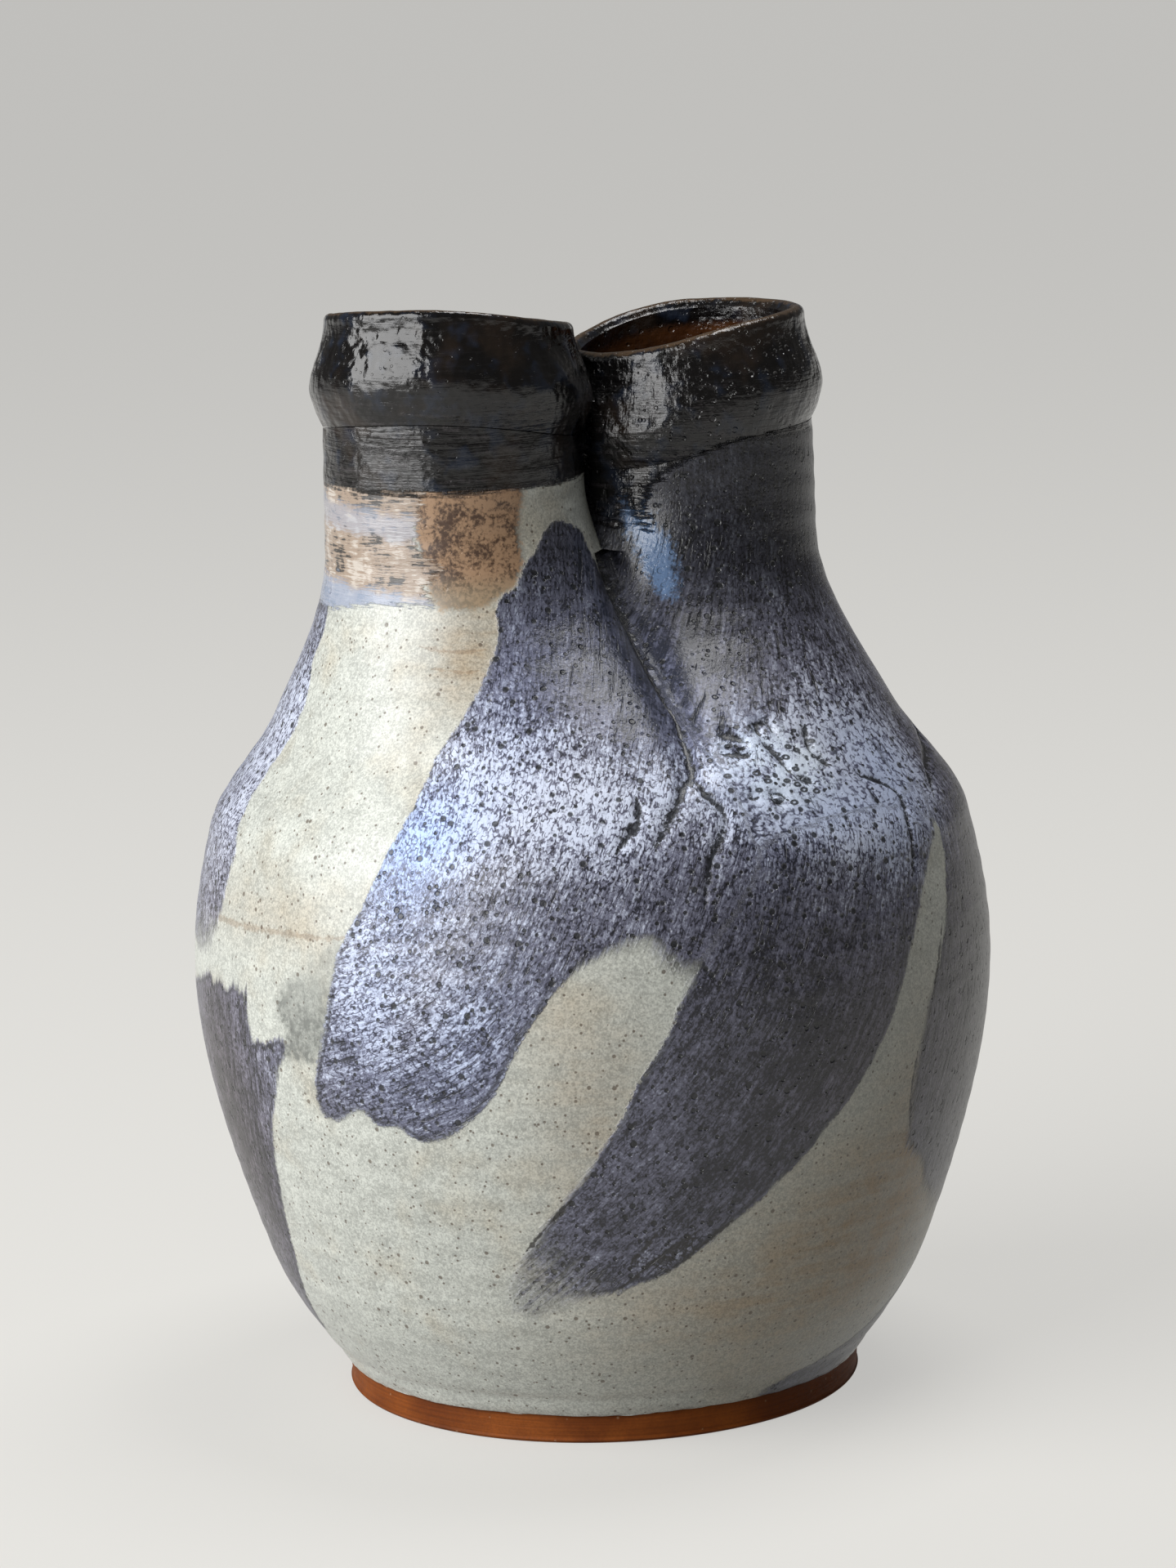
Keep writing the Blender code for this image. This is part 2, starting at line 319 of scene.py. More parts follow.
# Dark lines that single bristles dragged out at the ends and edges of strokes
DRAG_LINES = [
    (0.65, [(-97, 57.5), (-102, 52.5), (-105.7, 48), (-109.5, 43.5)]),
    (0.55, [(-103, 59), (-105.2, 54.6), (-108, 49)]),
    (0.5, [(-98, 54.5), (-100.7, 51.7), (-103.8, 48.5)]),
    (0.5, [(-92, 59), (-96, 54), (-99, 50.4), (-103.5, 46)]),
    (0.4, [(-115.5, 68), (-119.4, 61), (-124, 52.6)]),
    (0.35, [(-52.5, 122), (-56, 109), (-58.5, 97)]),
    (0.4, [(-60.5, 92), (-61, 82), (-59.5, 72)]),
]
# Folds that the pinch pressed into the wall, front and back: half-width in mm, then the line
FOLDS = [
    (5.0, [(-89.5, 208), (-90, 192), (-91, 176), (-93, 164), (-96, 155)]),
    (5.0, [(89.5, 208), (90, 190), (91, 174), (92, 162), (93, 154)]),
]
# Places where the slate glaze boiled and healed pale
BLISTERS = [(-76, 161, 17.0, 9.5, 1.0), (103, 158, 15.0, 9.0, 1.0)]

# Heights in mm between which the folds, the lumps on the collars and the wavy edge of the glaze come in
FOLD_START = (152.0, 170.0)
LUMP_START = (220.0, 238.0)
GLAZE_LINE = (10.5, 7.6)
GROOVE_WIDTH = 1.3

# Heights in mm between which the slate darkens towards the collars, and how much of it on the left
RIGHT_DARKENING = (172.0, 212.0)
LEFT_DARKENING = (176.0, 205.0)
LEFT_DARKENING_SHARE = 0.55

# Where a stroke without a path ends, and the length over which the bristles part, in mm
STRAIGHT_END = 130.0
DRAG_LENGTH = 14.0

# Colours of the fired glazes and the clay
CELADON = (0.505, 0.522, 0.478)
CELADON_THIN = (0.430, 0.380, 0.285)
# Tan stain of the pale ground, at the lower right also a painted warm shade
TAN_STAIN_AND_SHADE = (0.305, 0.222, 0.132)
STAIN_LINE = (0.21, 0.125, 0.06)
IRON_SPECK = (0.085, 0.058, 0.036)
WATERY_GREY = (0.125, 0.132, 0.122)
RUST_DARK = (0.056, 0.023, 0.010)
RUST_LIGHT = (0.34, 0.205, 0.115)
RUST_THIN = (0.30, 0.24, 0.155)
SLATE_DARK = (0.017, 0.017, 0.024)
SLATE_MID = (0.140, 0.142, 0.196)
# Pale end of the slate: frosted glaze, in part a painted sheen of the light
SLATE_FROSTED_AND_SHEEN = (0.60, 0.65, 0.78)
SLATE_EDGE = (0.24, 0.25, 0.25)
SLATE_RIM = (0.022, 0.022, 0.030)
HEALED_WHITE = (0.76, 0.84, 0.95)
# Tint and lift of the thin blue edge, in part a painted reflection of the sky
BLUE_AND_SKY_TINT = (0.62, 0.86, 1.30)
BLUE_AND_SKY_LIFT = (0.012, 0.030, 0.085)
# Brown tint of iron in the slate, at the right edge in part a painted shade
BROWN_AND_SHADE_TINT = (0.86, 0.62, 0.48)
PINHOLE = (0.010, 0.011, 0.012)
DRAGGED = (0.014, 0.012, 0.011)
VEIL_DARK = (0.030, 0.024, 0.022)
# Tan of the thin glaze, in part a painted reflection; the pale, grey and blue below are painted reflections
# of the window
VEIL_TAN_AND_REFLECTION = (0.330, 0.250, 0.190)
VEIL_PAINTED_HIGHLIGHT = (0.55, 0.49, 0.43)
VEIL_PAINTED_GREY_REFLECTION = (0.34, 0.37, 0.45)
VEIL_PAINTED_BLUE_REFLECTION = (0.32, 0.38, 0.50)
RUN_BLUE = (0.13, 0.21, 0.36)
COLLAR_BLACK = (0.0040, 0.0035, 0.0035)
COLLAR_DRY = (0.034, 0.030, 0.032)
# Blue hints of the collar glaze, in part a painted reflection of the sky
COLLAR_BLUE_AND_SKY_REFLECTION = (0.014, 0.021, 0.038)
COLLAR_BROWN = (0.030, 0.019, 0.012)
# Brown where the glaze breaks on the lip crest, in part a painted highlight of the lip
CREST_BROWN_AND_HIGHLIGHT = (0.095, 0.060, 0.034)
LINING_DARK = (0.040, 0.014, 0.005)
LINING_RUST = (0.075, 0.029, 0.010)
# Clay of the foot, darkened in part as a painted shade at the foot
CLAY_SHADED_DARK = (0.115, 0.027, 0.004)
CLAY_SHADED_LIGHT = (0.205, 0.054, 0.008)
GROG = (0.36, 0.21, 0.12)
GLAZE_IOR = 1.52
CLAY_SPECULAR = 0.15

# The floor: its colour, and the glow that only the camera and reflections see
FLOOR_GREY = (0.22, 0.215, 0.20, 1.0)
FLOOR_GLOW = (1.0, 0.99, 0.96, 1.0)
GLOW_STRENGTH = 0.50


class Graph:
    """Adds nodes to a tree and joins them. A value is a number, a colour or another node's output."""

    def __init__(self, tree):
        self.tree = tree

    def add(self, kind, inputs=None, **settings):
        node = self.tree.nodes.new(kind)
        for name, value in settings.items():
            setattr(node, name, value)
        for key, value in (inputs or {}).items():
            self.feed(node.inputs[key], value)
        return node

    def feed(self, socket, value):
        if isinstance(value, bpy.types.NodeSocket):
            self.tree.links.new(value, socket)
        else:
            socket.default_value = value

    def math(self, operation, *values):
        return self.add("ShaderNodeMath", dict(enumerate(values)), operation=operation).outputs[0]

    def chain(self, operation, values):
        total = values[0]
        for value in values[1:]:
            total = self.math(operation, total, value)
        return total

    def plus(self, *values):
        return self.chain("ADD", values)

    def times(self, *values):
        return self.chain("MULTIPLY", values)

    def most(self, *values):
        return self.chain("MAXIMUM", values)

    def minus(self, first, second):
        return self.math("SUBTRACT", first, second)

    def bell(self, value, width):
        """1 at zero, falling off over a width to both sides."""
        square = self.math("POWER", self.math("DIVIDE", value, width), 2.0)
        return self.math("EXPONENT", self.times(square, -1.0))

    def vector(self, operation, *values):
        return self.add("ShaderNodeVectorMath", dict(enumerate(values)), operation=operation).outputs[0]

    def join(self, x, y, z):
        return self.add("ShaderNodeCombineXYZ", {0: x, 1: y, 2: z}).outputs[0]

    def part(self, vector):
        return self.add("ShaderNodeSeparateXYZ", {0: vector}).outputs

    def ramp(self, value, low, high, start=0.0, end=1.0):
        """A soft step from start to end while the value goes from low to high."""
        inputs = {"Value": value, "From Min": low, "From Max": high, "To Min": start, "To Max": end}
        return self.add("ShaderNodeMapRange", inputs, interpolation_type="SMOOTHSTEP").outputs["Result"]

    def noise(self, vector, scale, detail=2.0, roughness=0.55):
        inputs = {"Vector": vector, "Scale": scale, "Detail": detail, "Roughness": roughness}
        return self.add("ShaderNodeTexNoise", inputs).outputs[0]

    def stretched(self, x, y, z, detail=2.0, roughness=0.55):
        """Noise on stretched coordinates: each is a value with its scale, or a plain number."""
        axes = (self.times(*axis) if isinstance(axis, tuple) else axis for axis in (x, y, z))
        return self.noise(self.join(*axes), 1.0, detail, roughness)

    def cells(self, vector, scale):
        """(distance from the middle of the nearest cell, in cells; a random number for that cell)."""
        node = self.add("ShaderNodeTexVoronoi", {"Vector": vector, "Scale": scale}, feature="F1")
        return node.outputs["Distance"], self.part(node.outputs["Color"])[0]

    def blend(self, share, first, second):
        node = self.add("ShaderNodeMix", data_type="RGBA")
        for place, value in zip((0, 6, 7), (share, first, second)):
            self.feed(node.inputs[place], (*value, 1.0) if isinstance(value, tuple) else value)
        return node.outputs[2]

    def scaled(self, vector, value):
        """A colour or a place times a factor."""
        return self.add("ShaderNodeVectorMath", {0: vector, "Scale": value}, operation="SCALE").outputs[0]


def smooth_step(value, start, end):
    share = np.clip((np.asarray(value, float) - start) / (end - start), 0.0, 1.0)
    return share * share * (3.0 - 2.0 * share)


def smooth_curve(stations):
    """A curve through (height, radius) stations that swings past none of them and ends upright."""
    heights, radii = np.array(stations, float).T
    rises = np.diff(heights)
    slopes = np.diff(radii) / rises
    bends = np.zeros(len(heights))
    bends[0] = ((2 * rises[0] + rises[1]) * slopes[0] - rises[0] * slopes[1]) / (rises[0] + rises[1])
    for i in range(1, len(slopes)):
        if slopes[i - 1] * slopes[i] > 0.0:
            near, far = 2 * rises[i] + rises[i - 1], rises[i] + 2 * rises[i - 1]
            bends[i] = (near + far) / (near / slopes[i - 1] + far / slopes[i])

    def radius(height):
        height = np.asarray(height, float)
        i = np.clip(np.searchsorted(heights, height) - 1, 0, len(rises) - 1)
        t = np.clip((height - heights[i]) / rises[i], 0.0, 1.0)
        start = (1 + 2 * t) * (1 - t) ** 2 * radii[i] + t * (1 - t) ** 2 * rises[i] * bends[i]
        end = t * t * (3 - 2 * t) * radii[i + 1] + t * t * (t - 1) * rises[i] * bends[i + 1]
        return start + end

    return radius


body_radius = smooth_curve(
    [(FOOT_TOP - 2 * PRESS_GAP, HEEL_RADIUS), HIP, BELLY, SHOULDER, THROAT, (NECK_HEIGHT, NECK_REACH)]
)


def crease_radius(height):
    """Distance of the crease from the axis: the wall itself below the pinch, the waist above it."""
    pinch = smooth_step(height, NECK_HEIGHT - PINCH_DROP, NECK_HEIGHT + PINCH_RISE)
    return (1.0 - pinch) * body_radius(height) + pinch * WAIST_HALF


def slope(curve, height):
    return (curve(height + SLOPE_STEP) - curve(height - SLOPE_STEP)) / (2 * SLOPE_STEP)


def outer_circle(height):
    """(centre, radius) of the circle that each half of the section follows, on the outside of the wall."""
    reach, crease = body_radius(height), crease_radius(height)
    return (reach**2 - crease**2) / (2 * reach), (reach**2 + crease**2) / (2 * reach)


def inner_circle(height):
    """The same on the inside of the body's wall."""
    reach = body_radius(height) - BODY_WALL * np.hypot(1.0, slope(body_radius, height))
    crease = crease_radius(height) - BODY_WALL * np.hypot(1.0, slope(crease_radius, height))
    return (reach**2 - crease**2) / (2 * reach), (reach**2 + crease**2) / (2 * reach)


def tube_bore(height):
    """(centre, radius) of the inside of a neck."""
    centre, radius = outer_circle(height)
    return centre, radius - NECK_WALL * np.hypot(1.0, slope(lambda z: outer_circle(z)[1], height))


def lean(height):
    """Sideways lean of the pinched top, towards the left neck."""
    return -NECK_LEAN * smooth_step(height, SHOULDER[0], NECK_HEIGHT)


def levels(start, end, pitch):
    return np.linspace(start, end, max(2, round(abs(end - start) / pitch)) + 1)


def rings(heights, circle, skin, inside):
    """Rows of a guide: centre, radius, height, slopes of the first two, skin, inside."""
    centre, radius = circle(heights)
    tilt = slope(lambda z: circle(z)[0], heights), slope(lambda z: circle(z)[1], heights)
    flat = np.ones_like(heights)
    return np.column_stack([centre, radius, heights, *tilt, skin * flat, inside * flat])


def turned_rows(outline, skin, inside=0.0):
    """Rows of a guide from a (radius, height) outline about the axis. Rising stretches face the axis."""
    radius, height = np.array(outline, float).T
    rise = np.gradient(height)
    rise = np.where(np.abs(rise) < LEAST_RISE, LEAST_RISE, rise)
    tilt = np.clip(np.gradient(radius) / rise, -STEEPEST, STEEPEST)
    flat = np.ones_like(radius)
    return np.column_stack([0 * flat, radius, height, 0 * flat, tilt, -skin * np.sign(rise), inside * flat])


def arc(middle, radius, start, end, steps):
    """Points of a round edge in the (radius, height) plane, between two angles in degrees."""
    turns = np.radians(np.linspace(start, end, steps + 1))
    return np.column_stack([middle[0] + radius * np.cos(turns), middle[1] + radius * np.sin(turns)])


def new_tree(name, inputs):
    """An empty geometry tree with named inputs: (its graph, the inputs by name, its output node)."""
    tree = bpy.data.node_groups.new(name, "GeometryNodeTree")
    sockets = tree.interface
    sockets.new_socket("Geometry", in_out="INPUT", socket_type="NodeSocketGeometry")
    for label, value in inputs.items():
        kind = "NodeSocketInt" if isinstance(value, int) else "NodeSocketFloat"
        sockets.new_socket(label, in_out="INPUT", socket_type=kind).default_value = value
    sockets.new_socket("Finish", in_out="INPUT", socket_type="NodeSocketMaterial")
    sockets.new_socket("Geometry", in_out="OUTPUT", socket_type="NodeSocketGeometry")
    g = Graph(tree)
    return g, g.add("NodeGroupInput").outputs, g.add("NodeGroupOutput")


def close_tree(g, given, out, geometry):
    """Last steps of every tree: real geometry, and its finish."""
    real = g.add("GeometryNodeRealizeInstances", {"Geometry": geometry}).outputs[0]
    done = g.add("GeometryNodeSetMaterial", {"Geometry": real, "Material": given["Finish"]}).outputs[0]
    g.feed(out.inputs["Geometry"], done)
    return g.tree


def store(g, geometry, name, kind, value):
    inputs = {"Geometry": geometry, "Name": name}
    node = g.add("GeometryNodeStoreNamedAttribute", inputs, data_type=kind, domain="POINT")
    g.feed(node.inputs["Value"], value)
    return node.outputs[0]


def thrown_wall_tree():
    """Sweeps a guide into a wall. Each guide point holds the centre, radius and height of one ring.

    With Side 0 a ring is two circles joined at the creases. With Side 1 or -1 it is one neck, pressed flat
    against the other one, whose mouth dips where they meet and tilts from front to back.
    """
    g, given, out = new_tree(
        "thrown_wall",
        {
            "Steps Around": BODY_STEPS,
            "Side": 0.0,
            "Press Gap": NECK_GAP,
            "Mouth Dip": 0.008,
            "Dip Width": 0.022,
            "Mouth Slope": 0.0,
        },
    )
    guide, side = given["Geometry"], given["Side"]
    domain = g.add("GeometryNodeAttributeDomainSize", {"Geometry": guide}, component="MESH")
    count = domain.outputs["Point Count"]
    columns = g.plus(given["Steps Around"], 1.0)
    sizes = {"Size X": 1.0, "Size Y": 1.0, "Vertices X": columns, "Vertices Y": count}
    sheet = g.add("GeometryNodeMeshGrid", sizes).outputs["Mesh"]
    place = g.part(g.add("GeometryNodeInputPosition").outputs[0])
    turn = g.plus(place[0], 0.5)
    row = g.math("ROUND", g.times(g.plus(place[1], 0.5), g.minus(count, 1.0)))

    def at_row(value):
        node = g.add("GeometryNodeSampleIndex", data_type="FLOAT_VECTOR", domain="POINT")
        g.feed(node.inputs["Geometry"], guide)
        g.feed(node.inputs["Value"], value)
        g.feed(node.inputs["Index"], row)
        return g.part(node.outputs[0])

    def kept(name):
        node = g.add("GeometryNodeInputNamedAttribute", {"Name": name}, data_type="FLOAT_VECTOR")
        return at_row(node.outputs[0])

    centre, radius, height = at_row(g.add("GeometryNodeInputPosition").outputs[0])
    centre_tilt, radius_tilt, skin = kept("slant")
    shift, share, inside = kept("seat")

    both = g.math("LESS_THAN", g.math("ABSOLUTE", side), 0.5)
    second = g.math("GREATER_THAN", turn, 0.4999)
    half_flip = g.minus(1.0, g.times(2.0, second))
    half_turn = g.minus(g.times(4.0, g.minus(turn, g.times(0.5, second))), 1.0)
    crease_angle = g.math("ARCCOSINE", g.times(g.math("DIVIDE", centre, radius), -1.0))
    body_angle = g.times(half_turn, half_flip, crease_angle)
    neck_angle = g.times(g.minus(g.times(2.0, turn), 1.0), math.pi, side)

    def either(for_body, for_neck):
        return g.plus(g.times(both, for_body), g.times(g.minus(1.0, both), for_neck))

    angle, flip = either(body_angle, neck_angle), either(half_flip, side)
    cosine, sine = g.math("COSINE", angle), g.math("SINE", angle)
    along = g.plus(centre, g.times(radius, cosine))
    along = either(along, g.most(along, given["Press Gap"]))
    across = g.times(radius, sine)
    dip = g.times(g.bell(along, given["Dip Width"]), given["Mouth Dip"])
    rise = g.plus(dip, g.times(across, given["Mouth Slope"]))
    level = g.minus(height, g.times(rise, share))
    spot = g.join(g.plus(g.times(flip, along), shift), across, level)
    tilt = g.plus(g.times(centre_tilt, cosine), radius_tilt)
    outward = g.join(g.times(flip, cosine), sine, g.times(-1.0, tilt))
    outward = g.vector("NORMALIZE", outward)

    wall = store(g, sheet, "outward", "FLOAT_VECTOR", outward)
    free = either(1.0, g.ramp(along, NECK_GAP, PRESS_EASE))
    wall = store(g, wall, "skin", "FLOAT", g.times(skin, free))
    wall = store(g, wall, "inside", "FLOAT", inside)
    wall = g.add("GeometryNodeSetPosition", {"Geometry": wall, "Position": spot}).outputs[0]
    wall = g.add("GeometryNodeMergeByDistance", {"Geometry": wall, "Distance": WELD}).outputs[0]
    return close_tree(g, given, out, wall)


def hand_marks_tree():
    """What hands, brush and fire leave on a wall. Every mark goes inwards, so the pot keeps its size."""
    g, given, out = new_tree(
        "hand_marks",
        {
            "Ring Pitch": 6.5,
            "Ring Depth": 0.16,
            "Wobble Pitch": 52.0,
            "Wobble Depth": 0.55,
            "Coat": 0.10,
            "Crack Depth": 0.75,
            "Fold Depth": 1.9,
            "Lump Pitch": 11.0,
            "Lump Depth": 0.7,
            "Groove Height": 11.5,
            "Groove Depth": 0.35,
            "Edge Wave": 0.9,
            "Seed": SEED,
        },
    )

    def kept(name, kind="FLOAT"):
        return g.add("GeometryNodeInputNamedAttribute", {"Name": name}, data_type=kind).outputs[0]

    def waves(name, detail):
        """Soft noise whose pitch and depth are inputs of the tree."""
        pitch = g.math("DIVIDE", 1.0, given[name + " Pitch"])
        return g.times(g.noise(spot, pitch, detail), given[name + " Depth"])

    spot = g.scaled(g.add("GeometryNodeInputPosition").outputs[0], 1.0 / MM)
    spot = g.vector("ADD", spot, g.join(given["Seed"], 0.0, 0.0))
    height = g.part(spot)[2]

    drift = g.noise(spot, 0.02, 1.0)
    phase = g.plus(g.math("DIVIDE", height, given["Ring Pitch"]), g.times(drift, 3.0))
    wave = g.math("MULTIPLY_ADD", g.math("SINE", g.times(phase, 2.0 * math.pi)), 0.5, 0.5)
    ring = g.times(wave, given["Ring Depth"], g.ramp(g.noise(spot, 0.03, 1.0), 0.3, 0.7))
    bare = g.times(g.ramp(kept("slate"), 0.8, -0.8), given["Coat"])
    crack = g.times(g.ramp(kept("crack"), 2.2, 0.2), given["Crack Depth"])
    above_groove = g.minus(height, given["Groove Height"])
    groove = g.times(g.bell(above_groove, GROOVE_WIDTH), given["Groove Depth"])
    fold = g.times(g.bell(kept("fold"), 1.0), given["Fold Depth"], g.ramp(height, *FOLD_START))
    lump = g.times(waves("Lump", 2.0), g.ramp(height, *LUMP_START))
    marks = g.plus(ring, waves("Wobble", 1.0), bare, crack, groove, fold, lump)
    push = g.scaled(kept("outward", "FLOAT_VECTOR"), g.times(marks, kept("skin"), -MM))
    wave = g.times(g.minus(g.noise(spot, 0.07, 2.0), 0.5), given["Edge Wave"], 2.0 * MM)
    wave = g.times(wave, g.ramp(height, *GLAZE_LINE), kept("skin"))
    move = g.vector("ADD", push, g.join(0.0, 0.0, wave))
    worn = g.add("GeometryNodeSetPosition", {"Geometry": given["Geometry"], "Offset": move}).outputs[0]
    return close_tree(g, given, out, worn)


def run_tree(name, mesh, tree, values):
    """The mesh that a tree makes of another one. Inputs are set by socket before the first evaluation."""
    work = bpy.data.objects.new(name, mesh)
    bpy.context.scene.collection.objects.link(work)
    modifier = work.modifiers.new(tree.name, "NODES")
    modifier.node_group = tree
    for item in tree.interface.items_tree:
        if item.in_out == "INPUT" and item.name in values:
            modifier[item.identifier] = values[item.name]
    graph = bpy.context.evaluated_depsgraph_get()
    made = bpy.data.meshes.new_from_object(work.evaluated_get(graph))
    bpy.data.objects.remove(work, do_unlink=True)
    made.name = name
    return made


def guide_mesh(name, rows, top=None):
    """The guide of a wall as a chain of points, with its slants and its seat."""
    mesh = bpy.data.meshes.new(name + "_guide")
    mesh.from_pydata(rows[:, :3].tolist(), [(i, i + 1) for i in range(len(rows) - 1)], [])
    height = rows[:, 2]
    share = np.zeros(len(rows)) if top is None else smooth_step(height, NECK_HEIGHT, top)
    for label, columns in (
        ("slant", rows[:, 3:6]),
        ("seat", np.column_stack([lean(height), share, rows[:, 6]])),
    ):
        mesh.attributes.new(label, "FLOAT_VECTOR", "POINT").data.foreach_set("vector", columns.ravel())
    return mesh


def write(mesh, name, values):
    mesh.attributes.new(name, "FLOAT", "POINT").data.foreach_set("value", values.astype(np.float32))


def smooth_line(points, closed=False, steps=5):
    """A flowing line through a few points, as a loaded brush leaves it."""
    points = np.array(points, float)
    count = len(points)
    order = np.arange(count if closed else count - 1)
    line = []
    for i in order:
        if closed:
            a, b, c, d = (points[(i + k) % count] for k in (-1, 0, 1, 2))
        else:
            a, b, c, d = (points[min(max(i + k, 0), count - 1)] for k in (-1, 0, 1, 2))
        for t in np.arange(steps) / steps:
            place = 2 * b + (c - a) * t + (2 * a - 5 * b + 4 * c - d) * t**2
            line.append(0.5 * (place + (3 * b - a - 3 * c + d) * t**3))
    line.append(line[0] if closed else points[-1])
    return np.array(line)


class Spots:
    """Points on the pot, as degrees round it, millimetres up and millimetres from the axis."""

    def __init__(self, mesh):
        place = np.empty(len(mesh.vertices) * 3, np.float32)
        mesh.vertices.foreach_get("co", place)
        x, y, z = place.reshape(-1, 3).astype(float).T
        x = x - lean(z)
        self.angle, self.height, self.radius = np.degrees(np.arctan2(y, x)), z / MM, np.hypot(x, y) / MM
        lobe = np.arctan2(y, np.abs(x) - outer_circle(z)[0]) * np.sign(x)
        self.around = lobe * NECK_REACH / 2 / MM

    def nearest(self, line):
        """(distance in mm, side of the line, run along it in mm, True inside a closed line, its length)."""
        middle = line[:, 0].mean()
        turn = (self.angle - middle + 180.0) % 360.0 - 180.0
        count = len(turn)
        best, side, along = np.full(count, 1e6), np.zeros(count), np.zeros(count)
        within = np.zeros(count, bool)
        run = 0.0
        scale = np.radians(self.radius)
        reach = np.radians(1.0) * float(np.median(self.radius))
        for (a0, h0), (a1, h1) in zip(line[:-1], line[1:]):
            x0, y0 = (a0 - middle - turn) * scale, h0 - self.height
            x1, y1 = (a1 - middle - turn) * scale, h1 - self.height
            dx, dy = x1 - x0, y1 - y0
            t = np.clip(-(x0 * dx + y0 * dy) / (dx * dx + dy * dy + 1e-9), 0.0, 1.0)
            gap = np.hypot(x0 + t * dx, y0 + t * dy)
            length = math.hypot((a1 - a0) * reach, h1 - h0)
            closer = gap < best
            best = np.where(closer, gap, best)
            side = np.where(closer, np.sign(dy * x0 - dx * y0), side)
            along = np.where(closer, run + t * length, along)
            crossing = (y0 > 0.0) != (y1 > 0.0)
            if crossing.any():
                meet = x0 - y0 * dx / np.where(dy == 0.0, 1e-9, dy)
                within ^= crossing & (meet > 0.0)
            run += length
        return best, side, along, within, run

    def patch(self, outline):
        """Distance to the edge of a patch in mm, positive inside it."""
        gap, _, _, within, _ = self.nearest(smooth_line(outline, closed=True))
        return np.where(within, gap, -gap)


def brush_strokes(spots):
    """Fields of the slate strokes: cover, run and offset of the brush, and how ragged and thin it ends."""
    count = len(spots.angle)
    cover, along, across = np.full(count, -40.0), np.zeros(count), np.zeros(count)
    ragged, spent = np.full(count, 0.5), np.zeros(count)
    for stroke in STROKES.values():
        depth = spots.patch(stroke["edge"])
        if stroke["path"]:
            gap, side, run, _, length = spots.nearest(smooth_line(stroke["path"]))
            offset, left = gap * side, np.maximum(length - run, 0.0)
        else:
            run, offset, left = -spots.height, spots.around, spots.height - STRAIGHT_END
        top = depth > cover
        cover = np.where(top, depth, cover)
        along, across = np.where(top, run, along), np.where(top, offset, across)
        ragged = np.where(top, 0.5 + stroke["drag"] * np.exp(-left / DRAG_LENGTH), ragged)
        fade = 1.0 - smooth_step(left, 0.0, stroke["fade"]) if "fade" in stroke else 0.0
        spent = np.where(top, fade, spent)
    return cover, along, across, ragged, spent


def weights(spots, places):
    """Soft round weights about places, added up: degrees, mm up, half-width, half-height, weight."""
    total = np.zeros(len(spots.angle))
    for angle, height, wide, tall, weight in places:
        turn = np.radians((spots.angle - angle + 180.0) % 360.0 - 180.0) * spots.radius
        total += weight * np.exp(-((turn / wide) ** 2) - ((spots.height - height) / tall) ** 2)
    return total


def lines_on(spots, lines):
    """Distance to the nearest of some lines in half-widths, and the same with the sign of its side."""
    away, signed = np.full(len(spots.angle), 99.0), np.full(len(spots.angle), 99.0)
    for half, points in lines:
        gap, side, run, _, length = spots.nearest(smooth_line(points))
        taper = 1.0 - 0.65 * smooth_step(np.abs(2.0 * run / length - 1.0), 0.6, 1.0)
        reach = gap / (half * taper)
        closer = reach < away
        away, signed = np.where(closer, reach, away), np.where(closer, reach * side, signed)
    return away, signed


def paint(mesh, neck=None):
    """Stores where each glaze lies on a wall, as fields that the glaze material reads."""
    spots = Spots(mesh)
    cover, along, across, ragged, spent = brush_strokes(spots)
    dark = spots.patch(DARK_RUN)
    if neck:
        dark = np.maximum(dark, spots.height - DARK_EDGE[neck])
    right = smooth_step(90.0 - np.abs(spots.angle), -1.0, 1.0)
    soot = right * smooth_step(spots.height, *RIGHT_DARKENING)
    soot = soot + (1 - right) * LEFT_DARKENING_SHARE * smooth_step(spots.height, *LEFT_DARKENING)
    fields = {"slate": cover, "along": along, "across": across, "ragged": ragged, "spent": spent}
    fields.update(around=spots.around, dark=dark, soot=soot)
    fields["fold"] = lines_on(spots, FOLDS)[0]
    fields["blister"] = weights(spots, BLISTERS)
    fields["blue_and_sky_reflection"] = weights(spots, BLUE_EDGE_AND_SKY_REFLECTION)
    fields["frost_sheen_and_shade"] = np.clip(FROST_SHEEN_AND_SHADE_GROUND + weights(spots, FROST_SHEEN_AND_SHADE), 0.0, 1.0)
    for label, places in (("feather", FEATHERED), ("streaky", STREAKY), ("brown_and_shade", BROWN_AND_SHADE), ("tan", TAN_AND_SHADE)):
        fields[label] = np.clip(weights(spots, places), 0.0, 1.0)
    for label, lines in (("crack", CRACKS), ("drag", DRAG_LINES), ("stain", STAIN_LINES)):
        fields[label], fields[label + "_side"] = lines_on(spots, lines)
    patches = {"run": BLUE_RUN, "veil": VEIL_PATCH, "rust": RUST_PATCH, "wash": WASH_PATCH}
    for label, outline in patches.items():
        fields[label] = spots.patch(outline)
    for label, values in fields.items():
        write(mesh, label, np.clip(values, -FIELD_LIMIT, FIELD_LIMIT))


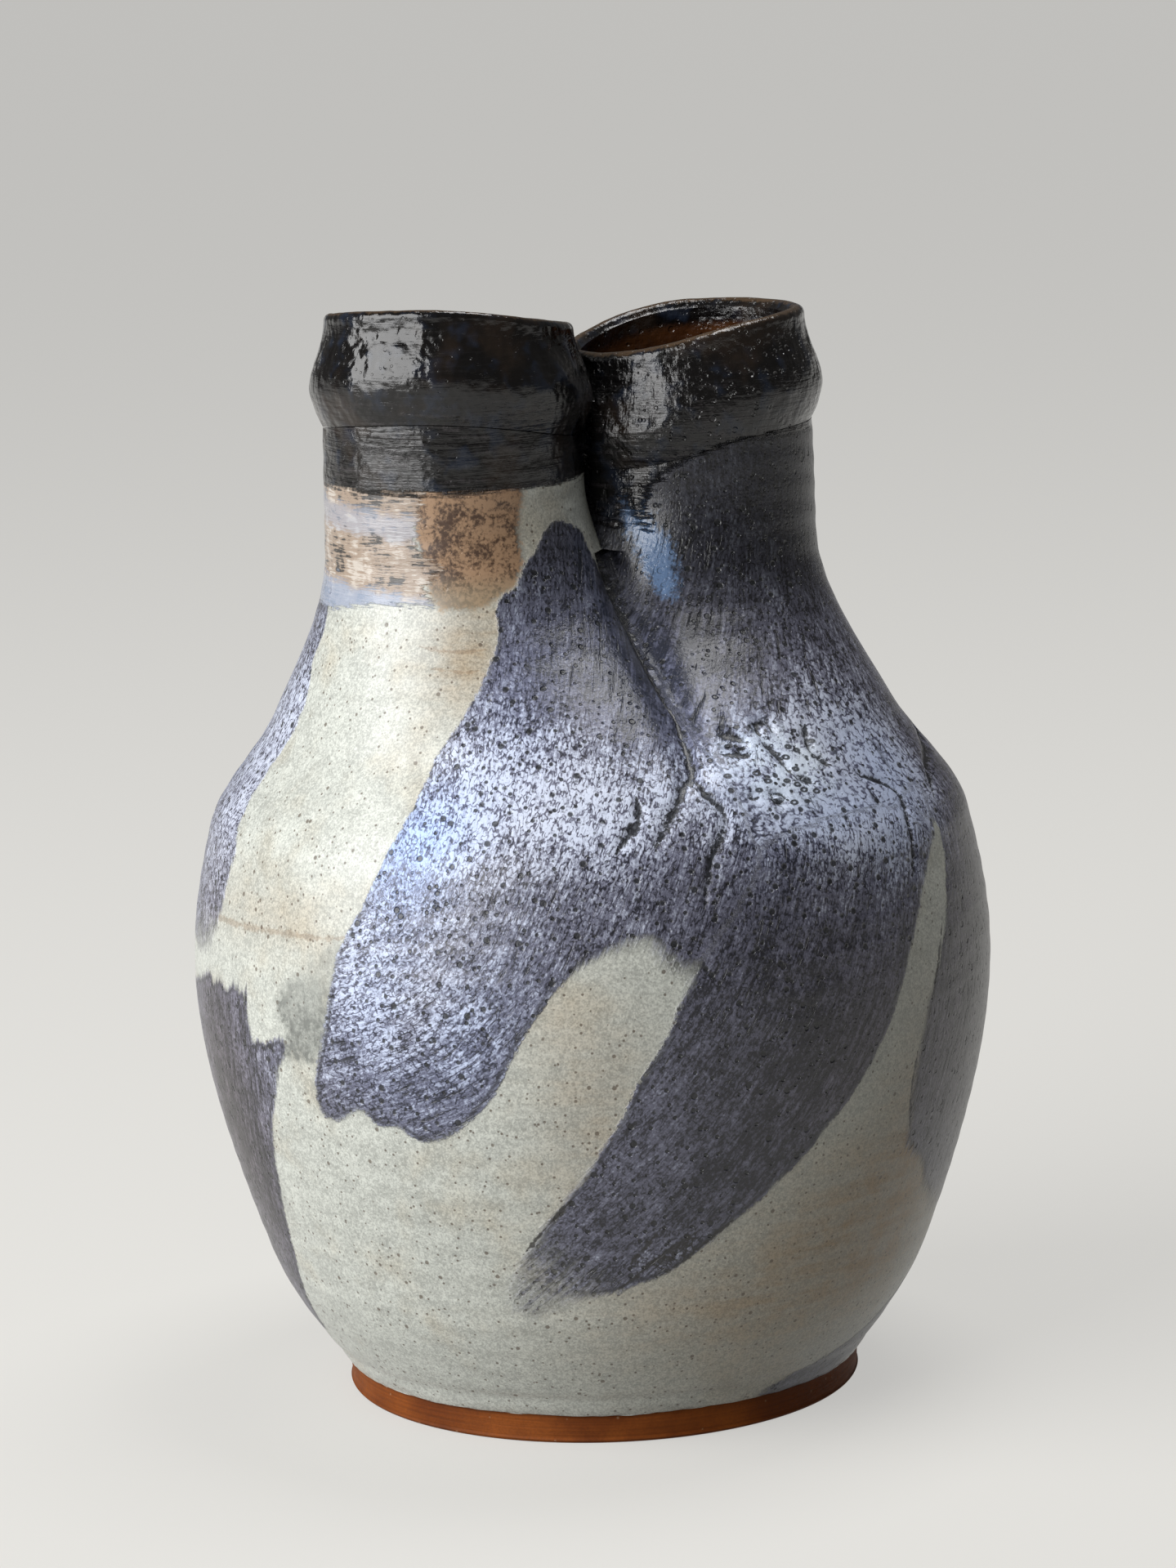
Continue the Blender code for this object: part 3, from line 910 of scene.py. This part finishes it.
def finish_wall(name, rows, finish, steps, side=0, top=None, mouth=(0.0, 0.0, 1.0), marks=None):
    """One dressed piece: swept from its guide, painted, marked by hand and put in place of its CAD node."""
    wall = {
        "Steps Around": steps,
        "Side": float(side),
        "Mouth Slope": math.tan(math.radians(mouth[0])),
        "Mouth Dip": mouth[1],
        "Dip Width": mouth[2],
        "Finish": finish,
    }
    mesh = run_tree(name, guide_mesh(name, rows, top), THROWN_WALL, wall)
    paint(mesh, name.split("_")[0] if side else None)
    mesh = run_tree(name, mesh, HAND_MARKS, {"Finish": finish, **(marks or {})})
    points = np.empty(len(mesh.vertices) * 3, np.float32)
    mesh.vertices.foreach_get("co", points)
    mesh.calc_loop_triangles()
    corners = np.empty(len(mesh.loop_triangles) * 3, np.int32)
    mesh.loop_triangles.foreach_get("vertices", corners)
    a, b, c = points.reshape(-1, 3)[corners.reshape(-1, 3)].transpose(1, 0, 2).astype(float)
    if np.einsum("ij,ij->i", a, np.cross(b, c)).sum() < 0.0:
        mesh.flip_normals()
    mesh.shade_smooth()
    mesh.set_sharp_from_angle(angle=math.radians(SMOOTH_BEND))
    piece = bpy.data.objects.new(name + "_dressed", mesh)
    bpy.context.scene.collection.objects.link(piece)
    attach(piece, "root")
    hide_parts(name)


def new_material(name):
    """A new material: (itself, its graph, its shader, places on the pot in millimetres)."""
    material = bpy.data.materials.new(name)
    material.use_nodes = True
    g = Graph(material.node_tree)
    spot = g.scaled(g.add("ShaderNodeTexCoord").outputs["Object"], 1.0 / MM)
    return material, g, material.node_tree.nodes["Principled BSDF"], spot


def relief(g, shader, height):
    """Fine relief of a finish, its height in millimetres."""
    node = g.add("ShaderNodeBump", {"Strength": 1.0, "Distance": MM, "Height": height})
    g.feed(shader.inputs["Normal"], node.outputs[0])


class GlazeGraph(Graph):
    """The nodes of the brushed glaze, with the noises that its coats share. Lengths are millimetres."""

    def __init__(self, tree, spot):
        super().__init__(tree)
        self.spot = spot
        self.x, self.y, self.z = self.part(spot)
        self.fleck = self.noise(spot, 1.0, 3.0, 0.7)
        self.grain = self.noise(spot, 0.62, 2.0, 0.5)
        self.fine = self.noise(spot, 2.2, 2.0, 0.6)
        self.cloud = self.noise(spot, 0.045, 3.0, 0.6)
        self.patchy = self.noise(spot, 0.16, 2.0, 0.6)
        self.bands = self.stretched((self.x, 0.03), (self.y, 0.03), (self.z, 0.42), 3.0, 0.6)
        along, across = self.field("along"), self.field("across")
        self.bristles = self.stretched((across, 0.95), (along, 0.045), 0.0, 3.0, 0.65)
        self.worms = self.stretched((across, 0.90), (along, 0.50), 31.0, 1.0)
        self.hairs = self.stretched((across, 1.7), (along, 0.28), 11.0, 2.0, 0.6)
        self.streaks = self.stretched((across, 0.75), (along, 0.09), 7.0, 3.0, 0.65)
        self.sweep = self.stretched((across, 0.20), (along, 0.012), 3.0, 2.0, 0.6)
        self.around = self.field("around")
        self.round_strokes = self.stretched((self.around, 0.07), (self.z, 0.9), 0.0, 4.0, 0.65)
        self.scratches = self.stretched((self.around, 0.16), (self.z, 1.5), 5.0, 4.0, 0.7)

    def field(self, name):
        return self.add("ShaderNodeAttribute", attribute_name=name).outputs["Fac"]

    def about(self, value, size):
        """A noise as a swing of that size to both sides."""
        return self.times(self.minus(value, 0.5), 2.0 * size)

    def stir(self, value, **swings):
        """A value with swings of some of the shared noises."""
        return self.plus(value, *(self.about(getattr(self, name), size) for name, size in swings.items()))

    def drawn(self, name):
        """1 on the lines of a field that paint() stored, 0 beside them."""
        away = self.math("ABSOLUTE", self.field(name + "_side"))
        away = self.stir(away, grain=1.9, fleck=1.0, patchy=1.2)
        return self.times(self.ramp(away, 1.5, 0.4), self.ramp(self.field(name), 3.2, 2.2))

    def dots(self, scale, wide, share):
        """Round dots in some of the cells of a grid of cells."""
        far, kind = self.cells(self.spot, scale)
        return self.times(self.ramp(far, wide, wide * 0.6), self.math("GREATER_THAN", kind, 1.0 - share))


def pale_ground(g):
    """Celadon, tan where thin, with tan stains, a painted warm shade at the lower right, a watery swipe and
    an iron stain on it; its specks.
    """
    ground = g.blend(g.ramp(g.cloud, 0.48, 0.72, 0.0, 0.5), CELADON, CELADON_THIN)
    # Tan stains, and at the lower right a painted warm shade
    tanned_and_shaded = g.times(g.field("tan"), g.ramp(g.stir(g.bands, patchy=0.5), 0.25, 0.75, 0.55, 1.0))
    ground = g.blend(tanned_and_shaded, ground, TAN_STAIN_AND_SHADE)
    ground = g.blend(g.times(g.drawn("stain"), 0.40), ground, STAIN_LINE)
    ground = g.scaled(ground, g.ramp(g.bands, 0.25, 0.75, 0.95, 1.04))
    ground = g.scaled(ground, g.ramp(g.stir(g.fine, fleck=0.5, patchy=0.2), 0.22, 0.78, 0.70, 1.23))
    speck = g.most(g.dots(0.55, 0.22, 0.55), g.dots(0.20, 0.13, 0.7))
    ground = g.blend(g.times(speck, 0.75), ground, IRON_SPECK)

    wash = g.ramp(g.stir(g.field("wash"), grain=1.8, fleck=2.4, patchy=2.4), -1.6, 2.2)
    mottled = g.ramp(g.stir(g.grain, fleck=0.5, patchy=0.5), 0.30, 0.70, 0.55, 1.1)
    wash = g.times(wash, mottled, g.ramp(g.z, 118.0, 106.0, 0.5, 1.0))
    ground = g.blend(g.times(wash, 0.80), ground, WATERY_GREY)

    rust = g.blend(g.ramp(g.stir(g.fleck, patchy=0.4), 0.34, 0.62), RUST_DARK, RUST_LIGHT)
    rust = g.blend(g.ramp(g.z, 206.0, 199.0, 0.0, 0.6), rust, RUST_THIN)
    on_rust = g.ramp(g.stir(g.field("rust"), fleck=1.6, patchy=1.4), -0.9, 0.9)
    return g.blend(g.times(on_rust, 0.95), ground, rust), speck


def slate_coat(g):
    """Brushed slate, frosted pale where thick with a painted sheen of the light in it, painted shade at the
    right edge, and blue where thin, in part a painted reflection of the sky; the gaps in it; where it lies.
    """
    depth, cover, streaky = g.field("frost_sheen_and_shade"), g.field("slate"), g.field("streaky")
    wormy = g.ramp(g.math("ABSOLUTE", g.about(g.worms, 1.0)), 0.15, 0.04)
    wormy = g.times(wormy, g.ramp(g.grain, 0.64, 0.48), g.ramp(depth, 0.20, 0.75, -0.30, -0.55))
    speckle = g.plus(g.stir(g.about(g.fleck, 0.62), fine=0.30, hairs=0.55), wormy)
    speckle = g.times(speckle, g.ramp(depth, 0.20, 0.80, 0.74, 1.05))
    brushed = g.times(g.about(g.streaks, 0.70), g.math("MULTIPLY_ADD", streaky, 0.65, 0.35))
    level = g.plus(g.stir(depth, patchy=0.30, sweep=0.22), speckle, brushed)
    slate = g.blend(g.ramp(level, -0.05, 0.52), SLATE_DARK, SLATE_MID)
    # Towards the pale frosted end, which is in part a painted sheen of the light
    slate = g.blend(g.ramp(level, 0.40, 1.10), slate, SLATE_FROSTED_AND_SHEEN)

    blister = g.field("blister")
    healed = g.times(g.ramp(blister, 0.25, 0.8), g.ramp(g.stir(g.fleck, patchy=0.5), 0.40, 0.56))
    slate = g.blend(g.times(healed, 0.9), slate, HEALED_WHITE)
    # Blue where the slate is thin at its edge, in part a painted reflection of the sky
    blue_share = g.times(g.ramp(cover, 34.0, 4.0), g.field("blue_and_sky_reflection"))
    blued_and_reflected = g.vector("ADD", g.vector("MULTIPLY", slate, BLUE_AND_SKY_TINT), BLUE_AND_SKY_LIFT)
    slate = g.blend(g.times(blue_share, 0.85), slate, blued_and_reflected)
    # Browner where iron is, and at the right edge a painted shade
    slate = g.blend(g.times(g.field("brown_and_shade"), 0.7), slate, g.vector("MULTIPLY", slate, BROWN_AND_SHADE_TINT))
    thinned = g.times(g.ramp(cover, 1.8, 0.0, 0.0, 0.35), g.ramp(g.patchy, 0.54, 0.38))
    slate = g.blend(thinned, slate, SLATE_EDGE)
    rim = g.times(g.ramp(cover, 0.2, 0.9), g.ramp(cover, 2.0, 1.0), g.ramp(g.patchy, 0.38, 0.54))
    slate = g.blend(g.times(rim, g.ramp(g.z, 150.0, 100.0, 0.15, 0.75)), slate, SLATE_RIM)
    # Darker towards the collars
    slate = g.scaled(slate, g.ramp(g.stir(g.field("soot"), fleck=0.35), 0.0, 1.0, 1.0, 0.16))

    veins = g.times(g.ramp(g.streaks, 0.40, 0.31), streaky, 0.8)
    small_dots = g.times(g.dots(0.62, 0.28, 0.6), g.ramp(depth, 0.35, 0.7, 0.2, 0.55))
    far, kind = g.cells(g.join(g.times(g.x, 0.8), g.times(g.y, 0.8), g.times(g.z, 1.5)), 0.34)
    ring = g.minus(g.ramp(far, 0.36, 0.26), g.times(g.ramp(far, 0.16, 0.08), 0.8))
    boils = g.times(ring, g.math("GREATER_THAN", g.times(kind, blister), 0.30))
    dots = g.most(g.dots(0.22, 0.21, 0.9), g.dots(0.40, 0.24, 0.8), small_dots)
    gaps = g.most(dots, veins, boils, g.drawn("crack"))
    slate = g.blend(g.times(gaps, 0.9), slate, PINHOLE)

    ragged, feather, spent = g.field("ragged"), g.field("feather"), g.field("spent")
    fray = g.times(g.about(g.bristles, 1.2), g.plus(ragged, g.times(feather, 3.0)))
    edge = g.stir(g.plus(cover, fray), fleck=1.0, patchy=0.9)
    soft = g.plus(g.math("MULTIPLY_ADD", ragged, 0.25, 0.25), g.times(feather, 3.5))
    bare = g.plus(g.stir(g.bristles, grain=0.25), g.times(spent, 0.15))
    worn = g.times(spent, g.ramp(bare, 0.42, 0.72, 0.15, 0.70))
    on_slate = g.times(g.ramp(edge, g.times(soft, -1.0), soft), g.minus(1.0, worn))
    return slate, gaps, on_slate


def left_veil(g):
    """Thin dark glaze drawn out on the left neck, with painted reflections of the window in its tan, pale,
    grey and blue bands; where it lies.
    """
    dashes = g.stir(g.scratches, patchy=0.5, grain=0.12)
    # Dark glaze with dashes; the tan and pale between them are in part painted reflections
    veil = g.blend(g.ramp(dashes, 0.36, 0.45), VEIL_DARK, VEIL_TAN_AND_REFLECTION)
    veil = g.blend(g.ramp(dashes, 0.55, 0.70), veil, VEIL_PAINTED_HIGHLIGHT)
    level = g.stir(g.plus(g.z, g.times(g.around, 0.10)), scratches=4.0, patchy=3.0)
    # Painted reflections of the window in bands across the neck
    reflected_band = g.times(g.ramp(level, 213.5, 216.0), g.ramp(level, 222.0, 219.0), 0.6)
    veil = g.blend(reflected_band, veil, VEIL_PAINTED_GREY_REFLECTION)
    veil = g.blend(g.ramp(level, 203.5, 200.5, 0.0, 0.8), veil, VEIL_PAINTED_BLUE_REFLECTION)
    return veil, g.ramp(g.stir(g.field("veil"), scratches=3.0, fleck=1.0), -0.5, 0.5)


def collar_coat(g):
    """Black-brown glaze of the collars, brushed round the necks; where it lies."""
    dry = g.ramp(g.stir(g.round_strokes, fleck=0.25), 0.50, 0.74)
    dark = g.blend(g.times(dry, g.ramp(g.z, 250.0, 238.0, 0.12, 1.0)), COLLAR_BLACK, COLLAR_DRY)
    # Blue hints, in part a painted reflection of the sky
    dark = g.blend(g.times(g.ramp(g.patchy, 0.50, 0.68), 0.6), dark, COLLAR_BLUE_AND_SKY_REFLECTION)
    dark = g.blend(g.times(g.ramp(g.cloud, 0.52, 0.66), 0.5), dark, COLLAR_BROWN)
    return dark, g.ramp(g.stir(g.field("dark"), round_strokes=3.0, fleck=1.0), -0.6, 0.6)


def brushed_glaze():
    """The glazes of the pot: pale celadon, brushed slate over it, black-brown collars, rust inside."""
    material, plain, shader, spot = new_material("brushed_glaze")
    g = GlazeGraph(plain.tree, spot)
    ground, speck = pale_ground(g)
    slate, gaps, on_slate = slate_coat(g)
    veil, on_veil = left_veil(g)
    dark, on_dark = collar_coat(g)
    run = g.ramp(g.stir(g.field("run"), fleck=3.0, streaks=2.0), -1.2, 1.4)
    colour = g.blend(on_slate, ground, slate)
    colour = g.blend(g.times(g.drawn("drag"), 0.9), colour, DRAGGED)
    colour = g.blend(g.times(on_veil, 0.94), colour, veil)
    colour = g.blend(g.times(run, 0.85), colour, RUN_BLUE)
    colour = g.blend(on_dark, colour, dark)
    inside = g.field("inside")
    # Glaze break on the lip crest, in part a painted highlight
    crest_and_highlight = g.ramp(g.stir(inside, fleck=0.5, patchy=0.4), -0.60, -0.95)
    colour = g.blend(g.times(crest_and_highlight, 0.6), colour, CREST_BROWN_AND_HIGHLIGHT)
    lining = g.blend(g.ramp(g.cloud, 0.35, 0.65), LINING_DARK, LINING_RUST)
    colour = g.blend(g.ramp(g.stir(inside, fleck=0.15), 0.25, 0.75), colour, lining)
    g.feed(shader.inputs["Base Color"], colour)

    satin = g.stir(g.ramp(on_slate, 0.0, 1.0, 0.36, 0.32), fleck=0.10)
    gloss = g.ramp(g.round_strokes, 0.45, 0.8, 0.10, 0.32)
    glossy = g.most(on_dark, g.times(on_veil, 0.85), run)
    rough = g.plus(g.times(satin, g.minus(1.0, glossy)), g.times(gloss, glossy))
    g.feed(shader.inputs["Roughness"], rough)
    shader.inputs["IOR"].default_value = GLAZE_IOR

    pitted = g.times(gaps, on_slate, -0.25)
    grainy = g.times(g.plus(g.times(g.fleck, 0.12), g.times(g.streaks, 0.10)), on_slate)
    peel = g.plus(g.times(g.noise(spot, 0.35, 2.0), 0.05), g.times(g.fine, 0.02))
    combed = g.times(g.round_strokes, on_dark, g.ramp(g.z, 252.0, 240.0, 0.10, 0.32))
    combed = g.plus(combed, g.times(g.scratches, on_veil, 0.22), g.times(g.patchy, on_dark))
    combed = g.plus(combed, g.times(g.grain, on_dark, 0.10))
    lift = g.times(on_slate, 0.04)
    pinpricks = g.times(speck, -0.05)
    relief(g, shader, g.plus(pitted, grainy, peel, combed, lift, pinpricks))
    return material


def bare_clay():
    """Fired clay of the foot: orange-brown, darkened in part as a painted shade at the foot, with turning
    lines, sandy grain and pale grog.
    """
    material, g, shader, spot = new_material("bare_clay")
    x, y, z = g.part(spot)
    cloud = g.noise(spot, 0.06, 3.0, 0.6)
    grain = g.noise(spot, 1.6, 3.0, 0.6)
    lines = g.stretched((x, 0.02), (y, 0.02), (z, 1.6))
    colour = g.blend(g.ramp(cloud, 0.3, 0.7), CLAY_SHADED_DARK, CLAY_SHADED_LIGHT)
    colour = g.scaled(colour, g.ramp(lines, 0.25, 0.75, 0.82, 1.12))
    colour = g.scaled(colour, g.ramp(grain, 0.2, 0.8, 0.85, 1.12))
    grog_far, grog_kind = g.cells(spot, 0.35)
    grog = g.times(g.ramp(grog_far, 0.16, 0.08), g.math("GREATER_THAN", grog_kind, 0.6))
    colour = g.blend(g.times(grog, 0.5), colour, GROG)
    g.feed(shader.inputs["Base Color"], colour)
    g.feed(shader.inputs["Roughness"], g.ramp(grain, 0.2, 0.8, 0.55, 0.72))
    shader.inputs["Specular IOR Level"].default_value = CLAY_SPECULAR
    height = g.plus(g.times(grain, 0.06), g.times(lines, 0.10), g.times(grog, 0.05))
    relief(g, shader, height)
    return material


def pale_floor():
    """A matt floor that the camera, and reflections, see paler than it lights the vase."""
    material = bpy.data.materials.new("pale_floor")
    material.use_nodes = True
    g = Graph(material.node_tree)
    shader = material.node_tree.nodes["Principled BSDF"]
    shader.inputs["Base Color"].default_value = FLOOR_GREY
    shader.inputs["Roughness"].default_value = 0.9
    shader.inputs["Emission Color"].default_value = FLOOR_GLOW
    rays = g.add("ShaderNodeLightPath").outputs
    seen = g.plus(rays["Is Camera Ray"], rays["Is Glossy Ray"], rays["Is Transmission Ray"])
    glow = g.times(g.math("MINIMUM", seen, 1.0), GLOW_STRENGTH)
    g.feed(shader.inputs["Emission Strength"], glow)
    return material


THROWN_WALL = thrown_wall_tree()
HAND_MARKS = hand_marks_tree()
GLAZE = brushed_glaze()
CLAY = bare_clay()


def closed(*groups):
    """The rows of a guide that comes back to its first ring."""
    rows = np.vstack(groups)
    return np.vstack([rows, rows[:1]])


def make_foot():
    ring_in = FOOT_RADIUS - FOOT_RING_WIDTH
    top = FOOT_TOP - PRESS_GAP
    side = [(FOOT_RADIUS, z) for z in levels(top, FOOT_EASE, ROW_PITCH * 0.5)]
    ease = arc((FOOT_RADIUS - FOOT_EASE, FOOT_EASE), FOOT_EASE, 0, -90, 6)[1:]
    under = [(r, 0.0) for r in levels(FOOT_RADIUS - FOOT_EASE, ring_in, UNDER_PITCH)[1:]]
    cove = (0.25, 0.5, 0.75, 1.0)
    recess = [(ring_in - FOOT_RECESS * t, FOOT_RECESS * math.sin(t * math.pi / 2)) for t in cove]
    below = [(r, FOOT_RECESS) for r in levels(ring_in - FOOT_RECESS, 0.0, RECESS_PITCH)[1:]]
    plug = HEEL_RADIUS - BODY_WALL - PLUG_PLAY
    above = [(0.0, FOOT_FLOOR), (FLOOR_MIDDLE, FOOT_FLOOR), (plug, FOOT_FLOOR)]
    above += [(plug, top), (FOOT_RADIUS - FOOT_TOP_INSET, top)]
    underside = turned_rows(list(ease) + under + recess + below, 0.0)
    rows = closed(turned_rows(side, 1.0), underside, turned_rows(above, 0.0, 1.0))
    marks = {"Groove Depth": 0.0, "Wobble Depth": 0.2, "Edge Wave": 0.0}
    finish_wall("foot", rows, CLAY, BODY_STEPS, marks=marks)


def make_lower_body():
    wall = rings(levels(BODY_JOINT, FOOT_TOP, ROW_PITCH), outer_circle, 1.0, 0.0)
    roll = arc((HEEL_RADIUS - GLAZE_ROLL, FOOT_TOP), GLAZE_ROLL, 0, -180, 8)[1:]
    inner = rings(levels(FOOT_TOP, BODY_JOINT, INNER_PITCH), inner_circle, 0.0, 1.0)
    rows = closed(wall, turned_rows(roll, 1.0), inner)
    finish_wall("lower_body", rows, GLAZE, BODY_STEPS)


def make_upper_body():
    wall = rings(levels(NECK_HEIGHT, BODY_JOINT, ROW_PITCH), outer_circle, 1.0, 0.0)
    inner = rings(levels(BODY_JOINT, NECK_HEIGHT, INNER_PITCH), inner_circle, 0.0, 1.0)
    finish_wall("upper_body", closed(wall, inner), GLAZE, BODY_STEPS)


def make_neck(name, side, length, *mouth):
    top = NECK_HEIGHT + length
    wall = rings(levels(top, NECK_HEIGHT, ROW_PITCH * 0.7), outer_circle, 1.0, 0.0)
    inner = rings(levels(NECK_HEIGHT, top, INNER_PITCH), tube_bore, 0.0, 1.0)
    finish_wall(name + "_neck", closed(wall, inner), GLAZE, NECK_STEPS, side, top, mouth)


def make_rim(name, side, length, *mouth):
    base = NECK_HEIGHT + length
    centre, tube = (float(value) for value in outer_circle(base))
    half = LIP_WALL / 2
    lip_height = base + COLLAR_HEIGHT - half
    collar = smooth_curve(
        [
            (base, tube),
            (base + COLLAR_ROLL_RISE, tube + COLLAR_ROLL),
            (base + COLLAR_BULGE_RISE, tube + COLLAR_BULGE),
            (lip_height, tube - LIP_SETBACK),
        ]
    )
    lip_middle = tube - LIP_SETBACK - half

    def outside(height):
        return centre + 0 * height, collar(height)

    def bore(height):
        share = smooth_step(height, base + COLLAR_BULGE_RISE, lip_height)
        return centre + 0 * height, (tube - NECK_WALL) * (1 - share) + (lip_middle - half) * share

    wall = rings(levels(lip_height, base, ROW_PITCH * 0.55), outside, 1.0, 0.0)
    inner = rings(levels(base, lip_height, ROW_PITCH * 1.5), bore, 0.0, 1.0)
    inner[:, 6] = 1.0 - smooth_step(inner[:, 2], lip_height - LINING_EDGE, lip_height)
    lip = turned_rows(arc((lip_middle, lip_height), half, 180, 0, 12)[1:-1], 1.0)
    lip[:, 0] = centre
    lip[:, 6] = (lip_height - lip[:, 2]) / half
    rows = closed(wall, inner, lip)
    finish_wall(name + "_rim", rows, GLAZE, NECK_STEPS, side, base, mouth)


make_foot()
make_lower_body()
make_upper_body()
for neck_name, neck in NECKS.items():
    make_neck(neck_name, *neck)
    make_rim(neck_name, *neck)

# Camera at the photograph's place: it looks down a little, from the left of the front
CAMERA_TURN = 22.0
CAMERA_AWAY = 1.242
CAMERA_HEIGHT = 0.380
CAMERA_DOWN = 10.66
CAMERA_ROLL = 1.65
CAMERA_LENS = 120.0
CAMERA_SENSOR = 36.0

lens = bpy.data.cameras.new("camera")
lens.lens, lens.sensor_width, lens.sensor_fit = CAMERA_LENS, CAMERA_SENSOR, "AUTO"
camera = bpy.data.objects.new("camera", lens)
bpy.context.scene.collection.objects.link(camera)
camera.matrix_world = (
    Matrix.Rotation(math.radians(-CAMERA_TURN), 4, "Z")
    @ Matrix.Translation((0.0, -CAMERA_AWAY, CAMERA_HEIGHT))
    @ Matrix.Rotation(math.radians(90.0 - CAMERA_DOWN), 4, "X")
    @ Matrix.Rotation(math.radians(-CAMERA_ROLL), 4, "Z")
)
bpy.context.scene.camera = camera

# Floor and light
HALF_FLOOR = 20.0
LAMP_AIM = 0.14
SKY_COLOUR = (1.0, 0.97, 0.93, 1.0)
SKY_STRENGTH = 0.10

floor_mesh = bpy.data.meshes.new("floor")
corners = [(sx * HALF_FLOOR, sy * HALF_FLOOR, 0.0) for sx, sy in ((-1, -1), (1, -1), (1, 1), (-1, 1))]
floor_mesh.from_pydata(corners, [], [(0, 1, 2, 3)])
floor_mesh.materials.append(pale_floor())
floor = bpy.data.objects.new("floor", floor_mesh)
bpy.context.scene.collection.objects.link(floor)


def softbox(name, turn, rise, away, width, tall, watts):
    """A soft rectangular lamp that faces the vase: turn and rise in degrees, the turn from +X."""
    lamp = bpy.data.lights.new(name, "AREA")
    lamp.shape, lamp.size, lamp.size_y, lamp.energy = "RECTANGLE", width, tall, watts
    light = bpy.data.objects.new(name, lamp)
    bpy.context.scene.collection.objects.link(light)
    middle = Vector((0.0, 0.0, LAMP_AIM))
    a, e = math.radians(turn), math.radians(rise)
    way = Vector((math.cos(a) * math.cos(e), math.sin(a) * math.cos(e), math.sin(e)))
    light.location = middle + away * way
    light.rotation_euler = way.to_track_quat("Z", "Y").to_euler()


softbox("window_light", turn=-170.0, rise=25.0, away=1.7, width=1.9, tall=1.3, watts=51.0)
softbox("overhead_light", turn=20.0, rise=75.0, away=1.5, width=0.7, tall=0.7, watts=12.0)
world = bpy.data.worlds.new("studio")
bpy.context.scene.world = world
world.use_nodes = True
sky = world.node_tree.nodes["Background"].inputs
sky["Color"].default_value = SKY_COLOUR
sky["Strength"].default_value = SKY_STRENGTH
bpy.context.scene.view_settings.view_transform = "Standard"
